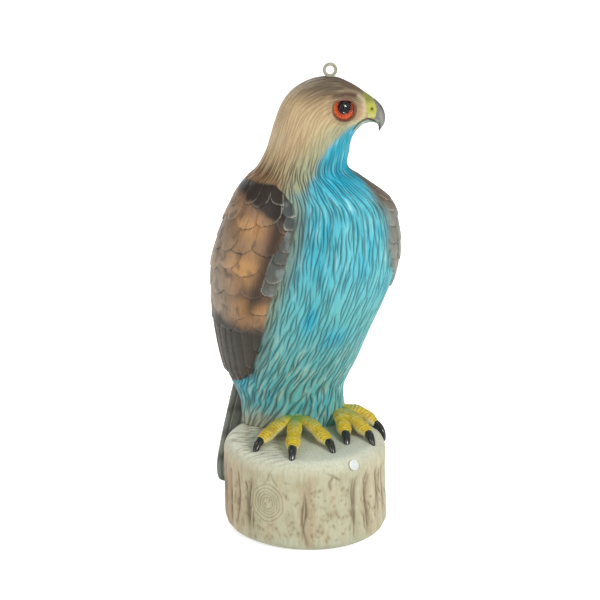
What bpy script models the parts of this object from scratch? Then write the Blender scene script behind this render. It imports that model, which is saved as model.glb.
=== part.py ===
"""Hawk decoy on a log stump: two half shells, a hanging ring, feet, claws, set-in eyes and a hollow stump.

The bird is moulded as a front and a rear half shell that meet on a parting surface. X runs to the
right and Y away from a person who faces the front half, and Z is up. The part stands on Z = 0.
"""

import math

import bmesh
import bpy
from mathutils import Matrix, Vector

MM = 0.001
DEG = math.pi / 180.0

# Clearances
SEAT_GAP = 0.3 * MM          # between two pieces that touch
FIT_GAP = 0.4 * MM           # round a piece that passes through another
OVERRUN = 3.0 * MM           # how far a cutter runs past what it cuts
MERGE_DISTANCE = 0.002 * MM  # points closer than this are one point

# The bird above the stump
BIRD_HEIGHT = 324.0 * MM     # stump top to crown
BIRD_HALF_WIDTH = 84.0 * MM
BIRD_HALF_DEPTH = 52.0 * MM
SHELL_WALL = 1.7 * MM
FACING = 60.0 * DEG          # turn of the breast's middle from +X towards the front
FOOT_RINGS = 5               # rings of the trunk below the wings' tips
NECK_RINGS = 3
HEAD_STEPS = 2               # rings between two head sections
BREAST_SIDES = 12            # facets across the breast, between the wings' edges
CAVITY_SIDES = 11
CAVITY_RINGS = 14
TRUNK_CURVE_STEPS = 8        # steps of the close curve between two rows of the trunk's table

# Wings
WING_STEP = 3.0 * MM         # how far the breast lies below the wing's edge
WING_LIP = 5.0 * MM          # width of the slope from the wing's edge down to the breast
WING_FADE = 18.0 * MM        # how fast that step dies out over the breast
WING_RADIUS = 66.0 * MM      # mean radius that the feather rows are laid out on
WING_TOP_SHARE = 0.735       # height over the stump's top, of the bird's height
WING_FOOT_SHARE = 0.142      # height of the wings' tips, in the same share
COVERT_LENGTH = 19.0 * MM
COVERT_WIDTH = 22.0 * MM
COVERT_ROWS = 6
COVERT_FACETS = 4            # facets across one covert
PRIMARY_RINGS = 7
FEATHER_RISE = 1.5 * MM      # how far a feather's tip stands over the one below it
FEATHER_LAP = 1.3 * MM       # height of the slope under a feather's tip
FEATHER_BOW_SHARE = 0.42     # how far a feather's corners lie above its tip, of its length

# Head: the brow over each eye and the hollow round it, placed in shares of the eye's diameter
BROW_HEIGHT = 2.2 * MM
BROW_RISE_SHARE = 0.60
BROW_SLOPE_SHARE = 0.30
BROW_WIDTH_SHARE = 0.20
BROW_LENGTH_SHARE = 0.70
SOCKET_DEPTH = 1.2 * MM
SOCKET_REACH_SHARE = 0.75

# Tail
TAIL_HALF_WIDTH = 29.0 * MM
TAIL_HALF_THICKNESS = 6.0 * MM
TAIL_TURN = 30.0 * DEG
TAIL_SIDES = 20
TAIL_RIB_SHARE = 0.22        # depth of the grooves between the tail feathers, of the half thickness

# Eyes
EYE_DIAMETER = 22.0 * MM
EYE_CUP_THICKNESS = 2.0 * MM
EYE_IRIS_THICKNESS = 1.0 * MM
EYE_DOME_HEIGHT = 4.6 * MM
EYE_STEM_DIAMETER = 5.0 * MM
EYE_STEM_LENGTH = 6.0 * MM
EYE_SINK = 1.2 * MM          # how far the dome's edge lies below the head's surface
EYE_BOSS_WALL = 2.0 * MM
EYE_TOE_IN = 22.0 * DEG
EYE_UPTURN = 4.0 * DEG
EYE_SIDES = 18
TURNED_SIDES = 20

# Hanging ring
RING_DIAMETER = 12.4 * MM
RING_BORE = 7.0 * MM
RING_THICKNESS = 3.0 * MM
RING_NECK = 6.0 * MM
RING_FOOT = 15.0 * MM         # width of the flare at the crown
RING_FOOT_SINK = 1.2 * MM
RING_RISE = 5.6 * MM         # crown to the middle of the bore
RING_ROOT_WIDTH = 14.0 * MM
RING_ROOT_HEIGHT = 2.4 * MM
RING_SIDES = 24

# Stump
STUMP_HALF_WIDTH = 74.0 * MM
STUMP_HALF_DEPTH = 66.0 * MM
STUMP_HEIGHT = 84.0 * MM
STUMP_WALL = 2.0 * MM
STUMP_RIM_ROUND = 12.0 * MM
STUMP_FOOT_ROUND = 10.0 * MM
STUMP_X = 0.0 * MM          # the stump stands a little to the right of the trunk
STUMP_Y = -9.0 * MM          # the stump stands a little in front of the parting surface
STUMP_SPREAD = 4.5 * MM      # how far the foot spreads towards the right front
STUMP_SPREAD_TOP = 60.0 * MM
STUMP_SPREAD_TURN = -48.0 * DEG
BARK_DEPTH = 2.2 * MM
FURROW_REACH = 8.0 * MM      # half the width of a furrow
STUMP_SIDES = 60
COVER_SIDES = 30             # sides of the stump's hollow and of the cover that closes it
STUMP_ROUND_STEPS = 4        # rings over the rim and over the foot
STUMP_WALL_STEPS = 5

# Base cover and its stopper
COVER_THICKNESS = 2.2 * MM
COVER_FLANGE_HEIGHT = 7.0 * MM
COVER_FLANGE_WALL = 2.0 * MM
COVER_BOSS_WALL = 3.0 * MM
COVER_BOSS_HEIGHT = 8.0 * MM
FILLER_BORE = 26.0 * MM
FILLER_HEAD = 33.0 * MM
FILLER_HEAD_THICKNESS = 2.6 * MM
FILLER_STEM_LENGTH = 9.0 * MM
FILLER_WALL = 2.0 * MM
FILLER_GRIP_WIDTH = 3.0 * MM

# Vent plug in the rim of the stump
VENT_HEAD = 10.0 * MM
VENT_HEAD_THICKNESS = 1.6 * MM
VENT_STEM = 6.0 * MM
VENT_STEM_LENGTH = 7.0 * MM
VENT_TURN = -53.0 * DEG      # place round the stump, from +X
VENT_UPTURN = 30.0 * DEG
VENT_BOSS_WALL = 2.5 * MM

# Feet
ANKLE_RADIUS = 9.5 * MM
ANKLE_TOP_RADIUS = 6.5 * MM
ANKLE_HEIGHT = 22.0 * MM
ANKLE_RINGS = 5
TOE_RADIUS = 6.6 * MM
TOE_FLATTEN_SHARE = 0.82     # height of a toe against its width
TOE_ARCH = 6.0 * MM          # how far a toe's middle stands above a straight line
TOE_ARCH_POWER = 1.3
TOE_SEAT_SHARE = 0.92        # height of the toe's middle line over the stump, of its own half height
TOE_END_SHARE = 0.85         # where a toe begins to narrow to its end
TOE_BLUNT_SHARE = 0.25
KNUCKLE_SWELL_SHARE = 0.14
TOE_KNUCKLES = 3
TOE_SIDES = 10
TOE_RINGS = 11
CLAW_RADIUS = 4.0 * MM
CLAW_TIP_SHARE = 0.16
CLAW_TAPER_POWER = 1.6
CLAW_REACH = 14.0 * MM
CLAW_DROP = 13.0 * MM
CLAW_FORWARD_SHARE = 0.6     # how much a claw turns from its toe's way towards the front
CLAW_SIDES = 8
CLAW_RINGS = 6

# Trunk sections from the stump up to the neck: left edge, right edge (shares of the half width),
# height (share of the bird's height), seam's set-back, front depth, rear depth (shares of the half depth).
TRUNK_SHARES = (
    (-0.730, 0.420, 0.000, 0.46, 0.40, 0.42),
    (-0.735, 0.430, 0.037, 0.48, 0.42, 0.52),
    (-0.760, 0.435, 0.080, 0.48, 0.48, 0.64),
    (-0.830, 0.450, 0.127, 0.44, 0.56, 0.75),
    (-0.920, 0.580, 0.204, 0.35, 0.73, 0.87),
    (-0.988, 0.745, 0.321, 0.15, 0.92, 0.96),
    (-1.005, 0.910, 0.426, 0.06, 1.00, 1.00),
    (-0.990, 1.005, 0.515, 0.00, 1.00, 1.00),
    (-0.895, 0.995, 0.599, 0.00, 0.95, 0.98),
    (-0.785, 0.915, 0.670, 0.00, 0.87, 0.93),
    (-0.655, 0.660, 0.725, 0.00, 0.74, 0.82),
    (-0.500, 0.450, 0.762, 0.00, 0.64, 0.68),
    (-0.400, 0.455, 0.809, 0.00, 0.56, 0.57),
)

# Head sections from the nape over the crown to the beak's tip: crown side x and height, throat side x
# and height, half the head's width.
HEAD_SHARES = (
    (-0.365, 0.838, 0.465, 0.829, 0.56),
    (-0.310, 0.885, 0.490, 0.848, 0.57),
    (-0.235, 0.934, 0.520, 0.860, 0.57),
    (-0.110, 0.972, 0.540, 0.866, 0.56),
    (0.085, 0.997, 0.560, 0.871, 0.53),
    (0.290, 1.001, 0.575, 0.874, 0.46),
    (0.465, 0.984, 0.592, 0.878, 0.36),
    (0.600, 0.962, 0.610, 0.879, 0.25),
    (0.672, 0.949, 0.640, 0.881, 0.19),
    (0.735, 0.936, 0.676, 0.882, 0.155),
    (0.786, 0.920, 0.705, 0.881, 0.125),
    (0.812, 0.898, 0.728, 0.878, 0.09),
    (0.804, 0.879, 0.744, 0.871, 0.06),
    (0.760, 0.861, 0.750, 0.858, 0.02),
)
CAVITY_HEAD_SECTIONS = 6     # the beak in front of these is solid

# Wing's front edge: height (share of the bird's height) against the turn from the breast's middle
# (share of a half turn).
WING_EDGE_SHARES = (
    (0.12, 0.74),
    (0.17, 0.64),
    (0.24, 0.52),
    (0.33, 0.40),
    (0.43, 0.31),
    (0.52, 0.27),
    (0.62, 0.25),
    (0.70, 0.26),
    (0.76, 0.40),
)

# Tail sections from inside the trunk down to the tip: x (share of the half width), y (share of the half
# depth), height (share of the stump's height), width and thickness (shares of the tail's own).
TAIL_SHARES = (
    (-0.41, 0.80, 1.85, 0.78, 1.20),
    (-0.49, 0.93, 1.45, 0.98, 1.10),
    (-0.57, 1.02, 1.05, 1.03, 0.90),
    (-0.65, 1.06, 0.70, 1.02, 0.80),
    (-0.71, 1.07, 0.39, 0.99, 0.75),
    (-0.73, 1.07, 0.19, 0.87, 0.60),
    (-0.74, 1.07, 0.115, 0.52, 0.35),
)

# Furrows of the bark: place round the stump (share of a full turn from +X) and depth (share of the bark's).
FURROW_SHARES = (
    (-0.467, 0.6),
    (-0.433, 1.0),
    (-0.400, 0.6),
    (-0.367, 0.8),
    (-0.250, 0.8),
    (-0.150, 0.7),
    (-0.117, 1.0),
    (-0.083, 0.7),
    (-0.050, 0.9),
    (0.033, 0.8),
    (0.100, 1.0),
    (0.167, 0.7),
    (0.217, 1.0),
    (0.283, 0.8),
    (0.350, 1.0),
    (0.417, 0.8),
)

# Middle of the eye: x (share of the half width), height (share of the bird's height).
EYE_PLACE_SHARES = (0.388, 0.927)

# Where the ring's neck leaves the crown: x (share of the half width).
RING_PLACE_SHARE = 0.25

# Feet: the ankle, as x and y from the middle of the parting surface in shares of the bird's half sizes,
# then the toes' ends, as x and y from the stump's middle in shares of its half sizes.
FEET_SHARES = {
    "right": {
        "ankle": (-0.088, 0.208),
        "inner": (0.29, -0.42),
        "middle": (-0.15, -0.64),
        "outer": (-0.54, -0.38),
    },
    "left": {
        "ankle": (0.361, 0.588),
        "inner": (0.50, -0.14),
        "middle": (0.78, -0.14),
        "outer": (0.89, 0.36),
    },
}


def clear_scene():
    """Remove every object that a new file starts with."""
    for thing in list(bpy.data.objects):
        bpy.data.objects.remove(thing, do_unlink=True)


def finish_material(name, colour, roughness, metallic=0.0):
    """A plain surface finish."""
    material = bpy.data.materials.new(name)
    material.use_nodes = True
    shader = material.node_tree.nodes["Principled BSDF"]
    shader.inputs["Base Color"].default_value = (*colour, 1.0)
    shader.inputs["Roughness"].default_value = roughness
    shader.inputs["Metallic"].default_value = metallic
    return material


def mix(low, high, share):
    """The value a share of the way from low to high."""
    return low + (high - low) * share


def smooth_share(share):
    """Ease a share in and out, held between nought and one."""
    held = min(1.0, max(0.0, share))
    return held * held * (3.0 - 2.0 * held)


def table_value(table, place):
    """Read a table of (place, value) rows, straight between rows and held at its ends."""
    if place <= table[0][0]:
        return table[0][1]
    for (low, low_value), (high, high_value) in zip(table, table[1:]):
        if place <= high:
            return mix(low_value, high_value, (place - low) / (high - low))
    return table[-1][1]


def curve_through(rows, place):
    """Read rows of numbers along one smooth curve (Catmull-Rom); place runs from 0 to the last row."""
    last = len(rows) - 1
    start = min(int(place), last - 1)
    step = place - start
    picked = [rows[min(max(start + offset, 0), last)] for offset in (-1, 0, 1, 2)]
    values = []
    for before, low, high, after in zip(*picked):
        bend = 2.0 * before - 5.0 * low + 4.0 * high - after
        twist = 3.0 * (low - high) + after - before
        values.append(low + 0.5 * step * (high - before + step * (bend + step * twist)))
    return values


def mesh_object(name, shape, material, smooth=True):
    """Put a finished bmesh into a new object, with its faces turned outwards."""
    bmesh.ops.recalc_face_normals(shape, faces=shape.faces)
    mesh = bpy.data.meshes.new(name)
    shape.to_mesh(mesh)
    shape.free()
    thing = bpy.data.objects.new(name, mesh)
    bpy.context.scene.collection.objects.link(thing)
    if material is not None:
        mesh.materials.append(material)
    if smooth:
        mesh.shade_smooth()
        mesh.set_sharp_from_angle(angle=35.0 * DEG)
    return thing


def loft(rings):
    """Join closed rings of points into one capped solid.

    Where a ring has half the lines of the one before it, every second line ends there; the closing
    line of such a ring, from its last point back to its first, runs on.
    """
    shape = bmesh.new()
    loops = [[shape.verts.new(point) for point in ring] for ring in rings]
    for lower, upper in zip(loops, loops[1:]):
        count = len(upper)
        thinned = len(lower) > count
        for index in range(count):
            after = (index + 1) % count
            if not thinned:
                shape.faces.new((lower[index], lower[after], upper[after], upper[index]))
            elif after:
                low = 2 * index
                shape.faces.new((lower[low], lower[low + 1], lower[low + 2], upper[after], upper[index]))
            else:
                shape.faces.new((lower[-1], lower[0], upper[0], upper[-1]))
    shape.faces.new(loops[0])
    shape.faces.new(loops[-1])
    return shape


def turned(profile, sides):
    """Turn a profile of (radius, height) points round Z; it starts and ends on the axis."""
    shape = bmesh.new()
    chain = [shape.verts.new((radius, 0.0, height)) for radius, height in profile]
    edges = [shape.edges.new(pair) for pair in zip(chain, chain[1:])]
    bmesh.ops.spin(
        shape,
        geom=chain + edges,
        cent=(0.0, 0.0, 0.0),
        axis=(0.0, 0.0, 1.0),
        angle=2.0 * math.pi,
        steps=sides,
        use_merge=True,
    )
    bmesh.ops.remove_doubles(shape, verts=shape.verts, dist=MERGE_DISTANCE)
    return shape


def box(size, centre):
    """A rectangular block."""
    shape = bmesh.new()
    bmesh.ops.create_cube(shape, size=1.0)
    bmesh.ops.scale(shape, vec=size, verts=shape.verts)
    bmesh.ops.translate(shape, vec=centre, verts=shape.verts)
    return shape


def hidden_tool(name, shape, matrix=None):
    """A solid that only cuts or joins another."""
    tool = mesh_object(name, shape, None, smooth=False)
    if matrix is not None:
        tool.matrix_world = matrix
    tool.hide_render = True
    tool.display_type = "WIRE"
    return tool


def combine(target, tool, operation):
    """Apply one Boolean to a solid and take the tool away."""
    modifier = target.modifiers.new(operation.lower(), "BOOLEAN")
    modifier.operation = operation
    modifier.solver = "EXACT"
    modifier.object = tool
    bpy.context.view_layer.update()
    graph = bpy.context.evaluated_depsgraph_get()
    result = bpy.data.meshes.new_from_object(target.evaluated_get(graph))
    joined = bmesh.new()
    joined.from_mesh(result)
    bmesh.ops.remove_doubles(joined, verts=joined.verts, dist=MERGE_DISTANCE)
    bmesh.ops.dissolve_degenerate(joined, edges=joined.edges, dist=MERGE_DISTANCE)
    joined.to_mesh(result)
    joined.free()
    target.modifiers.clear()
    target.data = result
    bpy.data.objects.remove(tool, do_unlink=True)


def stump_radii(inset, height_from_end, rounding):
    """Half sizes of the stump's plan where its edge is rounded, for a height above or below its end."""
    drawn_in = 0.0
    if height_from_end < rounding:
        drop = rounding - height_from_end
        drawn_in = rounding - math.sqrt(max(0.0, rounding * rounding - drop * drop))
    return STUMP_HALF_WIDTH - inset - drawn_in, STUMP_HALF_DEPTH - inset - drawn_in


def bark_relief(turn, height):
    """Depth of the bark's furrows, which run up the stump and die out at its rim and foot."""
    rise = smooth_share(height / STUMP_FOOT_ROUND)
    fall = smooth_share((STUMP_HEIGHT - STUMP_RIM_ROUND - height) / STUMP_RIM_ROUND)
    radius = 0.5 * (STUMP_HALF_WIDTH + STUMP_HALF_DEPTH)
    deepest = 0.0
    for place_share, depth_share in FURROW_SHARES:
        aside = turn / (2.0 * math.pi) - place_share
        distance = 2.0 * math.pi * radius * abs(aside - round(aside))
        deepest = max(deepest, depth_share * max(0.0, 1.0 - distance / FURROW_REACH))
    return BARK_DEPTH * rise * fall * deepest


def root_spread(turn, height):
    """How far the stump's foot spreads out to one side, as a log does over a root."""
    aside = max(0.0, math.cos(turn - STUMP_SPREAD_TURN))
    return STUMP_SPREAD * aside * aside * smooth_share(1.0 - height / STUMP_SPREAD_TOP)


def stump_ring(height, half_width, half_depth, sides, relief=False, spread=False):
    """One level ring of the stump's plan."""
    ring = []
    for side in range(sides):
        turn = 2.0 * math.pi * side / sides
        depth = bark_relief(turn, height) if relief else 0.0
        if spread:
            depth -= root_spread(turn, height)
        ring.append(Vector((
            STUMP_X + (half_width - depth) * math.cos(turn),
            STUMP_Y + (half_depth - depth) * math.sin(turn),
            height,
        )))
    return ring


def stump_rings(growth, relief):
    """Rings of the stump's outside from its foot up to the flat of its top."""
    rings = []
    for step in range(STUMP_ROUND_STEPS):
        height = STUMP_FOOT_ROUND * (1.0 - math.cos(0.5 * math.pi * step / STUMP_ROUND_STEPS))
        width, depth = stump_radii(-growth, height, STUMP_FOOT_ROUND)
        rings.append(stump_ring(height, width, depth, STUMP_SIDES, relief, relief))
    wall_top = STUMP_HEIGHT - STUMP_RIM_ROUND
    for step in range(STUMP_WALL_STEPS + 1):
        height = mix(STUMP_FOOT_ROUND, wall_top, step / STUMP_WALL_STEPS)
        width, depth = stump_radii(-growth, STUMP_HEIGHT, STUMP_RIM_ROUND)
        rings.append(stump_ring(height, width, depth, STUMP_SIDES, relief, relief))
    for step in range(1, STUMP_ROUND_STEPS + 1):
        turn = 0.5 * math.pi * step / STUMP_ROUND_STEPS
        height = wall_top + (STUMP_RIM_ROUND + growth) * math.sin(turn)
        drawn_in = (STUMP_RIM_ROUND + growth) * (1.0 - math.cos(turn)) - growth
        rings.append(stump_ring(height, STUMP_HALF_WIDTH - drawn_in, STUMP_HALF_DEPTH - drawn_in, STUMP_SIDES))
    return rings


def stump_cavity():
    """The hollow inside the stump, open at its foot."""
    rings = []
    inset = STUMP_WALL + BARK_DEPTH
    foot_width, foot_depth = stump_radii(STUMP_WALL, 0.0, STUMP_FOOT_ROUND)
    rings.append(stump_ring(-OVERRUN, foot_width, foot_depth, COVER_SIDES))
    rings.append(stump_ring(COVER_THICKNESS + SEAT_GAP, foot_width, foot_depth, COVER_SIDES))
    levels = STUMP_ROUND_STEPS - 1
    for step in range(1, levels + 1):
        height = mix(COVER_THICKNESS + SEAT_GAP, STUMP_FOOT_ROUND, step / levels)
        width, depth = stump_radii(STUMP_WALL, height - STUMP_WALL, STUMP_FOOT_ROUND)
        width = min(width, STUMP_HALF_WIDTH - inset)
        depth = min(depth, STUMP_HALF_DEPTH - inset)
        rings.append(stump_ring(height, width, depth, COVER_SIDES))
    wall_top = STUMP_HEIGHT - STUMP_RIM_ROUND
    for step in range(1, levels + 1):
        height = mix(STUMP_FOOT_ROUND, wall_top, step / levels)
        width = STUMP_HALF_WIDTH - inset
        depth = STUMP_HALF_DEPTH - inset
        rings.append(stump_ring(height, width, depth, COVER_SIDES, spread=True))
    rounding = STUMP_RIM_ROUND - STUMP_WALL
    for step in range(1, levels + 1):
        turn = 0.5 * math.pi * step / levels
        drawn_in = inset + rounding * (1.0 - math.cos(turn))
        rings.append(stump_ring(
            wall_top + rounding * math.sin(turn),
            STUMP_HALF_WIDTH - drawn_in,
            STUMP_HALF_DEPTH - drawn_in,
            COVER_SIDES,
        ))
    return loft(rings)


def stump_place(across_share, along_share, height):
    """A point over the stump from shares of its half sizes."""
    return Vector((
        STUMP_X + across_share * STUMP_HALF_WIDTH,
        STUMP_Y + along_share * STUMP_HALF_DEPTH,
        height,
    ))


def vent_frame():
    """Place of the vent plug's seat, its Z along the outward normal of the rim."""
    round_height = STUMP_HEIGHT - STUMP_RIM_ROUND + STUMP_RIM_ROUND * math.sin(VENT_UPTURN)
    drawn_in = STUMP_RIM_ROUND * (1.0 - math.cos(VENT_UPTURN))
    place = Vector((
        STUMP_X + (STUMP_HALF_WIDTH - drawn_in) * math.cos(VENT_TURN),
        STUMP_Y + (STUMP_HALF_DEPTH - drawn_in) * math.sin(VENT_TURN),
        round_height,
    ))
    level = Vector((
        math.cos(VENT_TURN) / STUMP_HALF_WIDTH,
        math.sin(VENT_TURN) / STUMP_HALF_DEPTH,
        0.0,
    )).normalized()
    outward = level * math.cos(VENT_UPTURN) + Vector((0.0, 0.0, math.sin(VENT_UPTURN)))
    turn = Vector((0.0, 0.0, 1.0)).rotation_difference(outward).to_matrix().to_4x4()
    return Matrix.Translation(place) @ turn


def make_stump(material):
    """The hollow log, with a flat spot and a bore for the vent plug in its rim."""
    stump = mesh_object("stump_shell", loft(stump_rings(0.0, True)), material)
    cavity = hidden_tool("stump_cavity", stump_cavity())
    boss_length = VENT_STEM_LENGTH
    boss_radius = 0.5 * VENT_HEAD + VENT_BOSS_WALL
    boss = hidden_tool("vent_boss", turned((
        (0.0, -boss_length),
        (boss_radius, -boss_length),
        (boss_radius, OVERRUN),
        (0.0, OVERRUN),
    ), TURNED_SIDES), vent_frame())
    combine(cavity, boss, "DIFFERENCE")
    combine(stump, cavity, "DIFFERENCE")
    head_radius = 0.5 * VENT_HEAD + FIT_GAP
    stem_radius = 0.5 * VENT_STEM + FIT_GAP
    seat = -vent_sink()
    bore = hidden_tool("vent_bore", turned((
        (0.0, -boss_length - OVERRUN),
        (stem_radius, -boss_length - OVERRUN),
        (stem_radius, seat),
        (head_radius, seat),
        (head_radius, OVERRUN),
        (0.0, OVERRUN),
    ), TURNED_SIDES), vent_frame())
    combine(stump, bore, "DIFFERENCE")
    return stump


def vent_sink():
    """How deep the flat spot for the vent plug's head is cut, so that it is flat all round."""
    half = 0.5 * VENT_HEAD
    return 0.6 * VENT_HEAD_THICKNESS + half * half / (2.0 * STUMP_RIM_ROUND)


def make_vent_plug(material):
    """A small push-in stopper with a domed head."""
    radius = 0.5 * VENT_HEAD
    stem = 0.5 * VENT_STEM
    edge = 0.4 * VENT_HEAD_THICKNESS
    low = SEAT_GAP - vent_sink()
    end = low - VENT_STEM_LENGTH
    profile = [(0.0, end), (stem - edge, end), (stem, end + edge)]
    profile += [(stem, low), (radius, low), (radius, low + 0.5 * VENT_HEAD_THICKNESS)]
    dome_steps = 3
    for step in range(1, dome_steps + 1):
        turn = 0.5 * math.pi * step / dome_steps
        profile.append((
            radius - edge + edge * math.cos(turn),
            low + 0.5 * VENT_HEAD_THICKNESS + 0.3 * VENT_HEAD_THICKNESS * math.sin(turn),
        ))
    profile.append((0.0, low + VENT_HEAD_THICKNESS))
    plug = mesh_object("vent_plug", turned(profile, TURNED_SIDES), material)
    plug.matrix_world = vent_frame()
    return plug


def oval_band(outer, inner, low, high):
    """A level band between two ovals, as a closed ring of walls; each oval is a pair of half sizes."""
    shape = bmesh.new()
    loops = []
    for (width, depth), height in ((outer, low), (outer, high), (inner, high), (inner, low)):
        loops.append([shape.verts.new(point) for point in stump_ring(height, width, depth, COVER_SIDES)])
    for first, second in zip(loops, loops[1:] + loops[:1]):
        for side in range(COVER_SIDES):
            after = (side + 1) % COVER_SIDES
            shape.faces.new((first[side], first[after], second[after], second[side]))
    return shape


def make_base_cover(material):
    """The plate that closes the stump's foot, with a locating flange and a boss round the filler hole."""
    foot_width, foot_depth = stump_radii(STUMP_WALL + SEAT_GAP, 0.0, STUMP_FOOT_ROUND)
    rings = [stump_ring(height, foot_width, foot_depth, COVER_SIDES) for height in (0.0, COVER_THICKNESS)]
    cover = mesh_object("base_cover", loft(rings), material)
    flange_inset = 2.0 * COVER_FLANGE_WALL
    outer = (foot_width - flange_inset, foot_depth - flange_inset)
    inner = (outer[0] - COVER_FLANGE_WALL, outer[1] - COVER_FLANGE_WALL)
    sunk = 0.5 * COVER_THICKNESS
    flange = hidden_tool("cover_flange", oval_band(outer, inner, sunk, COVER_THICKNESS + COVER_FLANGE_HEIGHT))
    combine(cover, flange, "UNION")
    middle = Matrix.Translation((STUMP_X, STUMP_Y, 0.0))
    boss_radius = 0.5 * FILLER_HEAD + FIT_GAP + COVER_BOSS_WALL
    boss = hidden_tool("cover_boss", turned((
        (0.0, sunk),
        (boss_radius, sunk),
        (boss_radius, COVER_BOSS_HEIGHT),
        (0.0, COVER_BOSS_HEIGHT),
    ), TURNED_SIDES), middle)
    combine(cover, boss, "UNION")
    head_radius = 0.5 * FILLER_HEAD + FIT_GAP
    bore_radius = 0.5 * FILLER_BORE
    bore = hidden_tool("filler_bore", turned((
        (0.0, -OVERRUN),
        (head_radius, -OVERRUN),
        (head_radius, filler_seat()),
        (bore_radius, filler_seat()),
        (bore_radius, COVER_BOSS_HEIGHT + OVERRUN),
        (0.0, COVER_BOSS_HEIGHT + OVERRUN),
    ), TURNED_SIDES), middle)
    combine(cover, bore, "DIFFERENCE")
    return cover


def filler_seat():
    """Height of the shoulder that the filler plug's head pushes against."""
    return 2.0 * SEAT_GAP + FILLER_HEAD_THICKNESS


def make_filler_plug(material):
    """The push-in stopper of the filler hole, hollow above, with a grip bar across its dished head."""
    head = 0.5 * FILLER_HEAD
    stem = 0.5 * FILLER_BORE - FIT_GAP
    low = SEAT_GAP
    top = filler_seat() - SEAT_GAP
    lead = 0.5 * FILLER_WALL
    dish = stem - FILLER_WALL
    web = low + FILLER_HEAD_THICKNESS + 0.5 * FILLER_WALL
    profile = (
        (0.0, web),
        (dish - lead, web),
        (dish, low),
        (head, low),
        (head, top),
        (stem, top),
        (stem, top + FILLER_STEM_LENGTH - lead),
        (stem - lead, top + FILLER_STEM_LENGTH),
        (dish, top + FILLER_STEM_LENGTH),
        (dish, web + FILLER_WALL),
        (0.0, web + FILLER_WALL),
    )
    plug = mesh_object("filler_plug", turned(profile, TURNED_SIDES), material)
    grip_height = web + 0.5 * FILLER_WALL - low
    grip = hidden_tool("plug_grip", box(
        (2.0 * dish + FILLER_WALL, FILLER_GRIP_WIDTH, grip_height),
        (0.0, 0.0, low + 0.5 * grip_height),
    ))
    combine(plug, grip, "UNION")
    plug.location = (STUMP_X, STUMP_Y, 0.0)
    return plug


def trunk_sections():
    """Trunk sections in metres: left point, right point, seam's set-back, front depth, rear depth."""
    rows = []
    base = STUMP_HEIGHT + SEAT_GAP
    for left, right, height, seam, front, rear in TRUNK_SHARES:
        level = base + height * (BIRD_HEIGHT - SEAT_GAP)
        rows.append((
            left * BIRD_HALF_WIDTH, level, right * BIRD_HALF_WIDTH, level,
            seam * BIRD_HALF_DEPTH, front * BIRD_HALF_DEPTH, rear * BIRD_HALF_DEPTH,
        ))
    return rows


def head_sections():
    """Head sections in the same form, nape to beak."""
    rows = []
    for crown_x, crown_height, throat_x, throat_height, half in HEAD_SHARES:
        rows.append((
            crown_x * BIRD_HALF_WIDTH, STUMP_HEIGHT + crown_height * BIRD_HEIGHT,
            throat_x * BIRD_HALF_WIDTH, STUMP_HEIGHT + throat_height * BIRD_HEIGHT,
            0.0, half * BIRD_HALF_DEPTH, half * BIRD_HALF_DEPTH,
        ))
    return rows


def trunk_curve():
    """The trunk's sections, close together and smoothed between the table's rows."""
    rows = trunk_sections() + head_sections()[:2]
    steps = TRUNK_CURVE_STEPS * len(TRUNK_SHARES)
    return [curve_through(rows, step / TRUNK_CURVE_STEPS) for step in range(steps + 1)]


def section_at(curve, height):
    """The trunk's section at a height, read from the close curve."""
    held = min(max(height, curve[0][1]), curve[-1][1])
    for low, high in zip(curve, curve[1:]):
        if held <= high[1]:
            share = (held - low[1]) / (high[1] - low[1])
            return [mix(low_value, high_value, share) for low_value, high_value in zip(low, high)]
    return curve[-1]


def head_rings():
    """The head's sections from the nape to the beak's tip."""
    rows = trunk_sections()[-1:] + head_sections()
    places = [1.0 + step / HEAD_STEPS for step in range(HEAD_STEPS * (len(rows) - 2) + 1)]
    return [curve_through(rows, place) for place in places]


def wing_top():
    """Height of the wings' top."""
    return STUMP_HEIGHT + WING_TOP_SHARE * BIRD_HEIGHT


def wing_foot():
    """Height of the wings' tips."""
    return STUMP_HEIGHT + WING_FOOT_SHARE * BIRD_HEIGHT


def wing_edge(height):
    """Turn of the wings' front edge from the breast's middle at a height."""
    return math.pi * table_value(WING_EDGE_SHARES, (height - STUMP_HEIGHT) / BIRD_HEIGHT)


def wing_share(turn, height):
    """One on a wing, nothing on the breast, and a slope between them."""
    past_edge = (abs(turn) - wing_edge(height)) * WING_RADIUS
    return smooth_share(past_edge / WING_LIP + 0.5)


def breast_step(turn, height):
    """How far the breast lies below the wings' outside: most beside a wing, and less away from it."""
    past_edge = (abs(turn) - wing_edge(height)) * WING_RADIUS
    fade = smooth_share((wing_top() - height) / COVERT_LENGTH)
    beside = 1.0 - wing_share(turn, height)
    return WING_STEP * fade * beside * math.exp(min(0.0, past_edge) / WING_FADE)


def covert_corner(turn, row):
    """Nought at the middle of a covert and one at its corners; each row is half a feather over."""
    across = abs(turn) * WING_RADIUS / COVERT_WIDTH + 0.5 * (row % 2)
    return abs(2.0 * (across - math.floor(across)) - 1.0)


def primary_depth(turn):
    """Depth of the surface between the long quills, which run down the wing side by side."""
    across = 2.0 * abs(turn) * WING_RADIUS / COVERT_WIDTH
    return FEATHER_RISE * abs(2.0 * (across - math.floor(across)) - 1.0)


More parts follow.
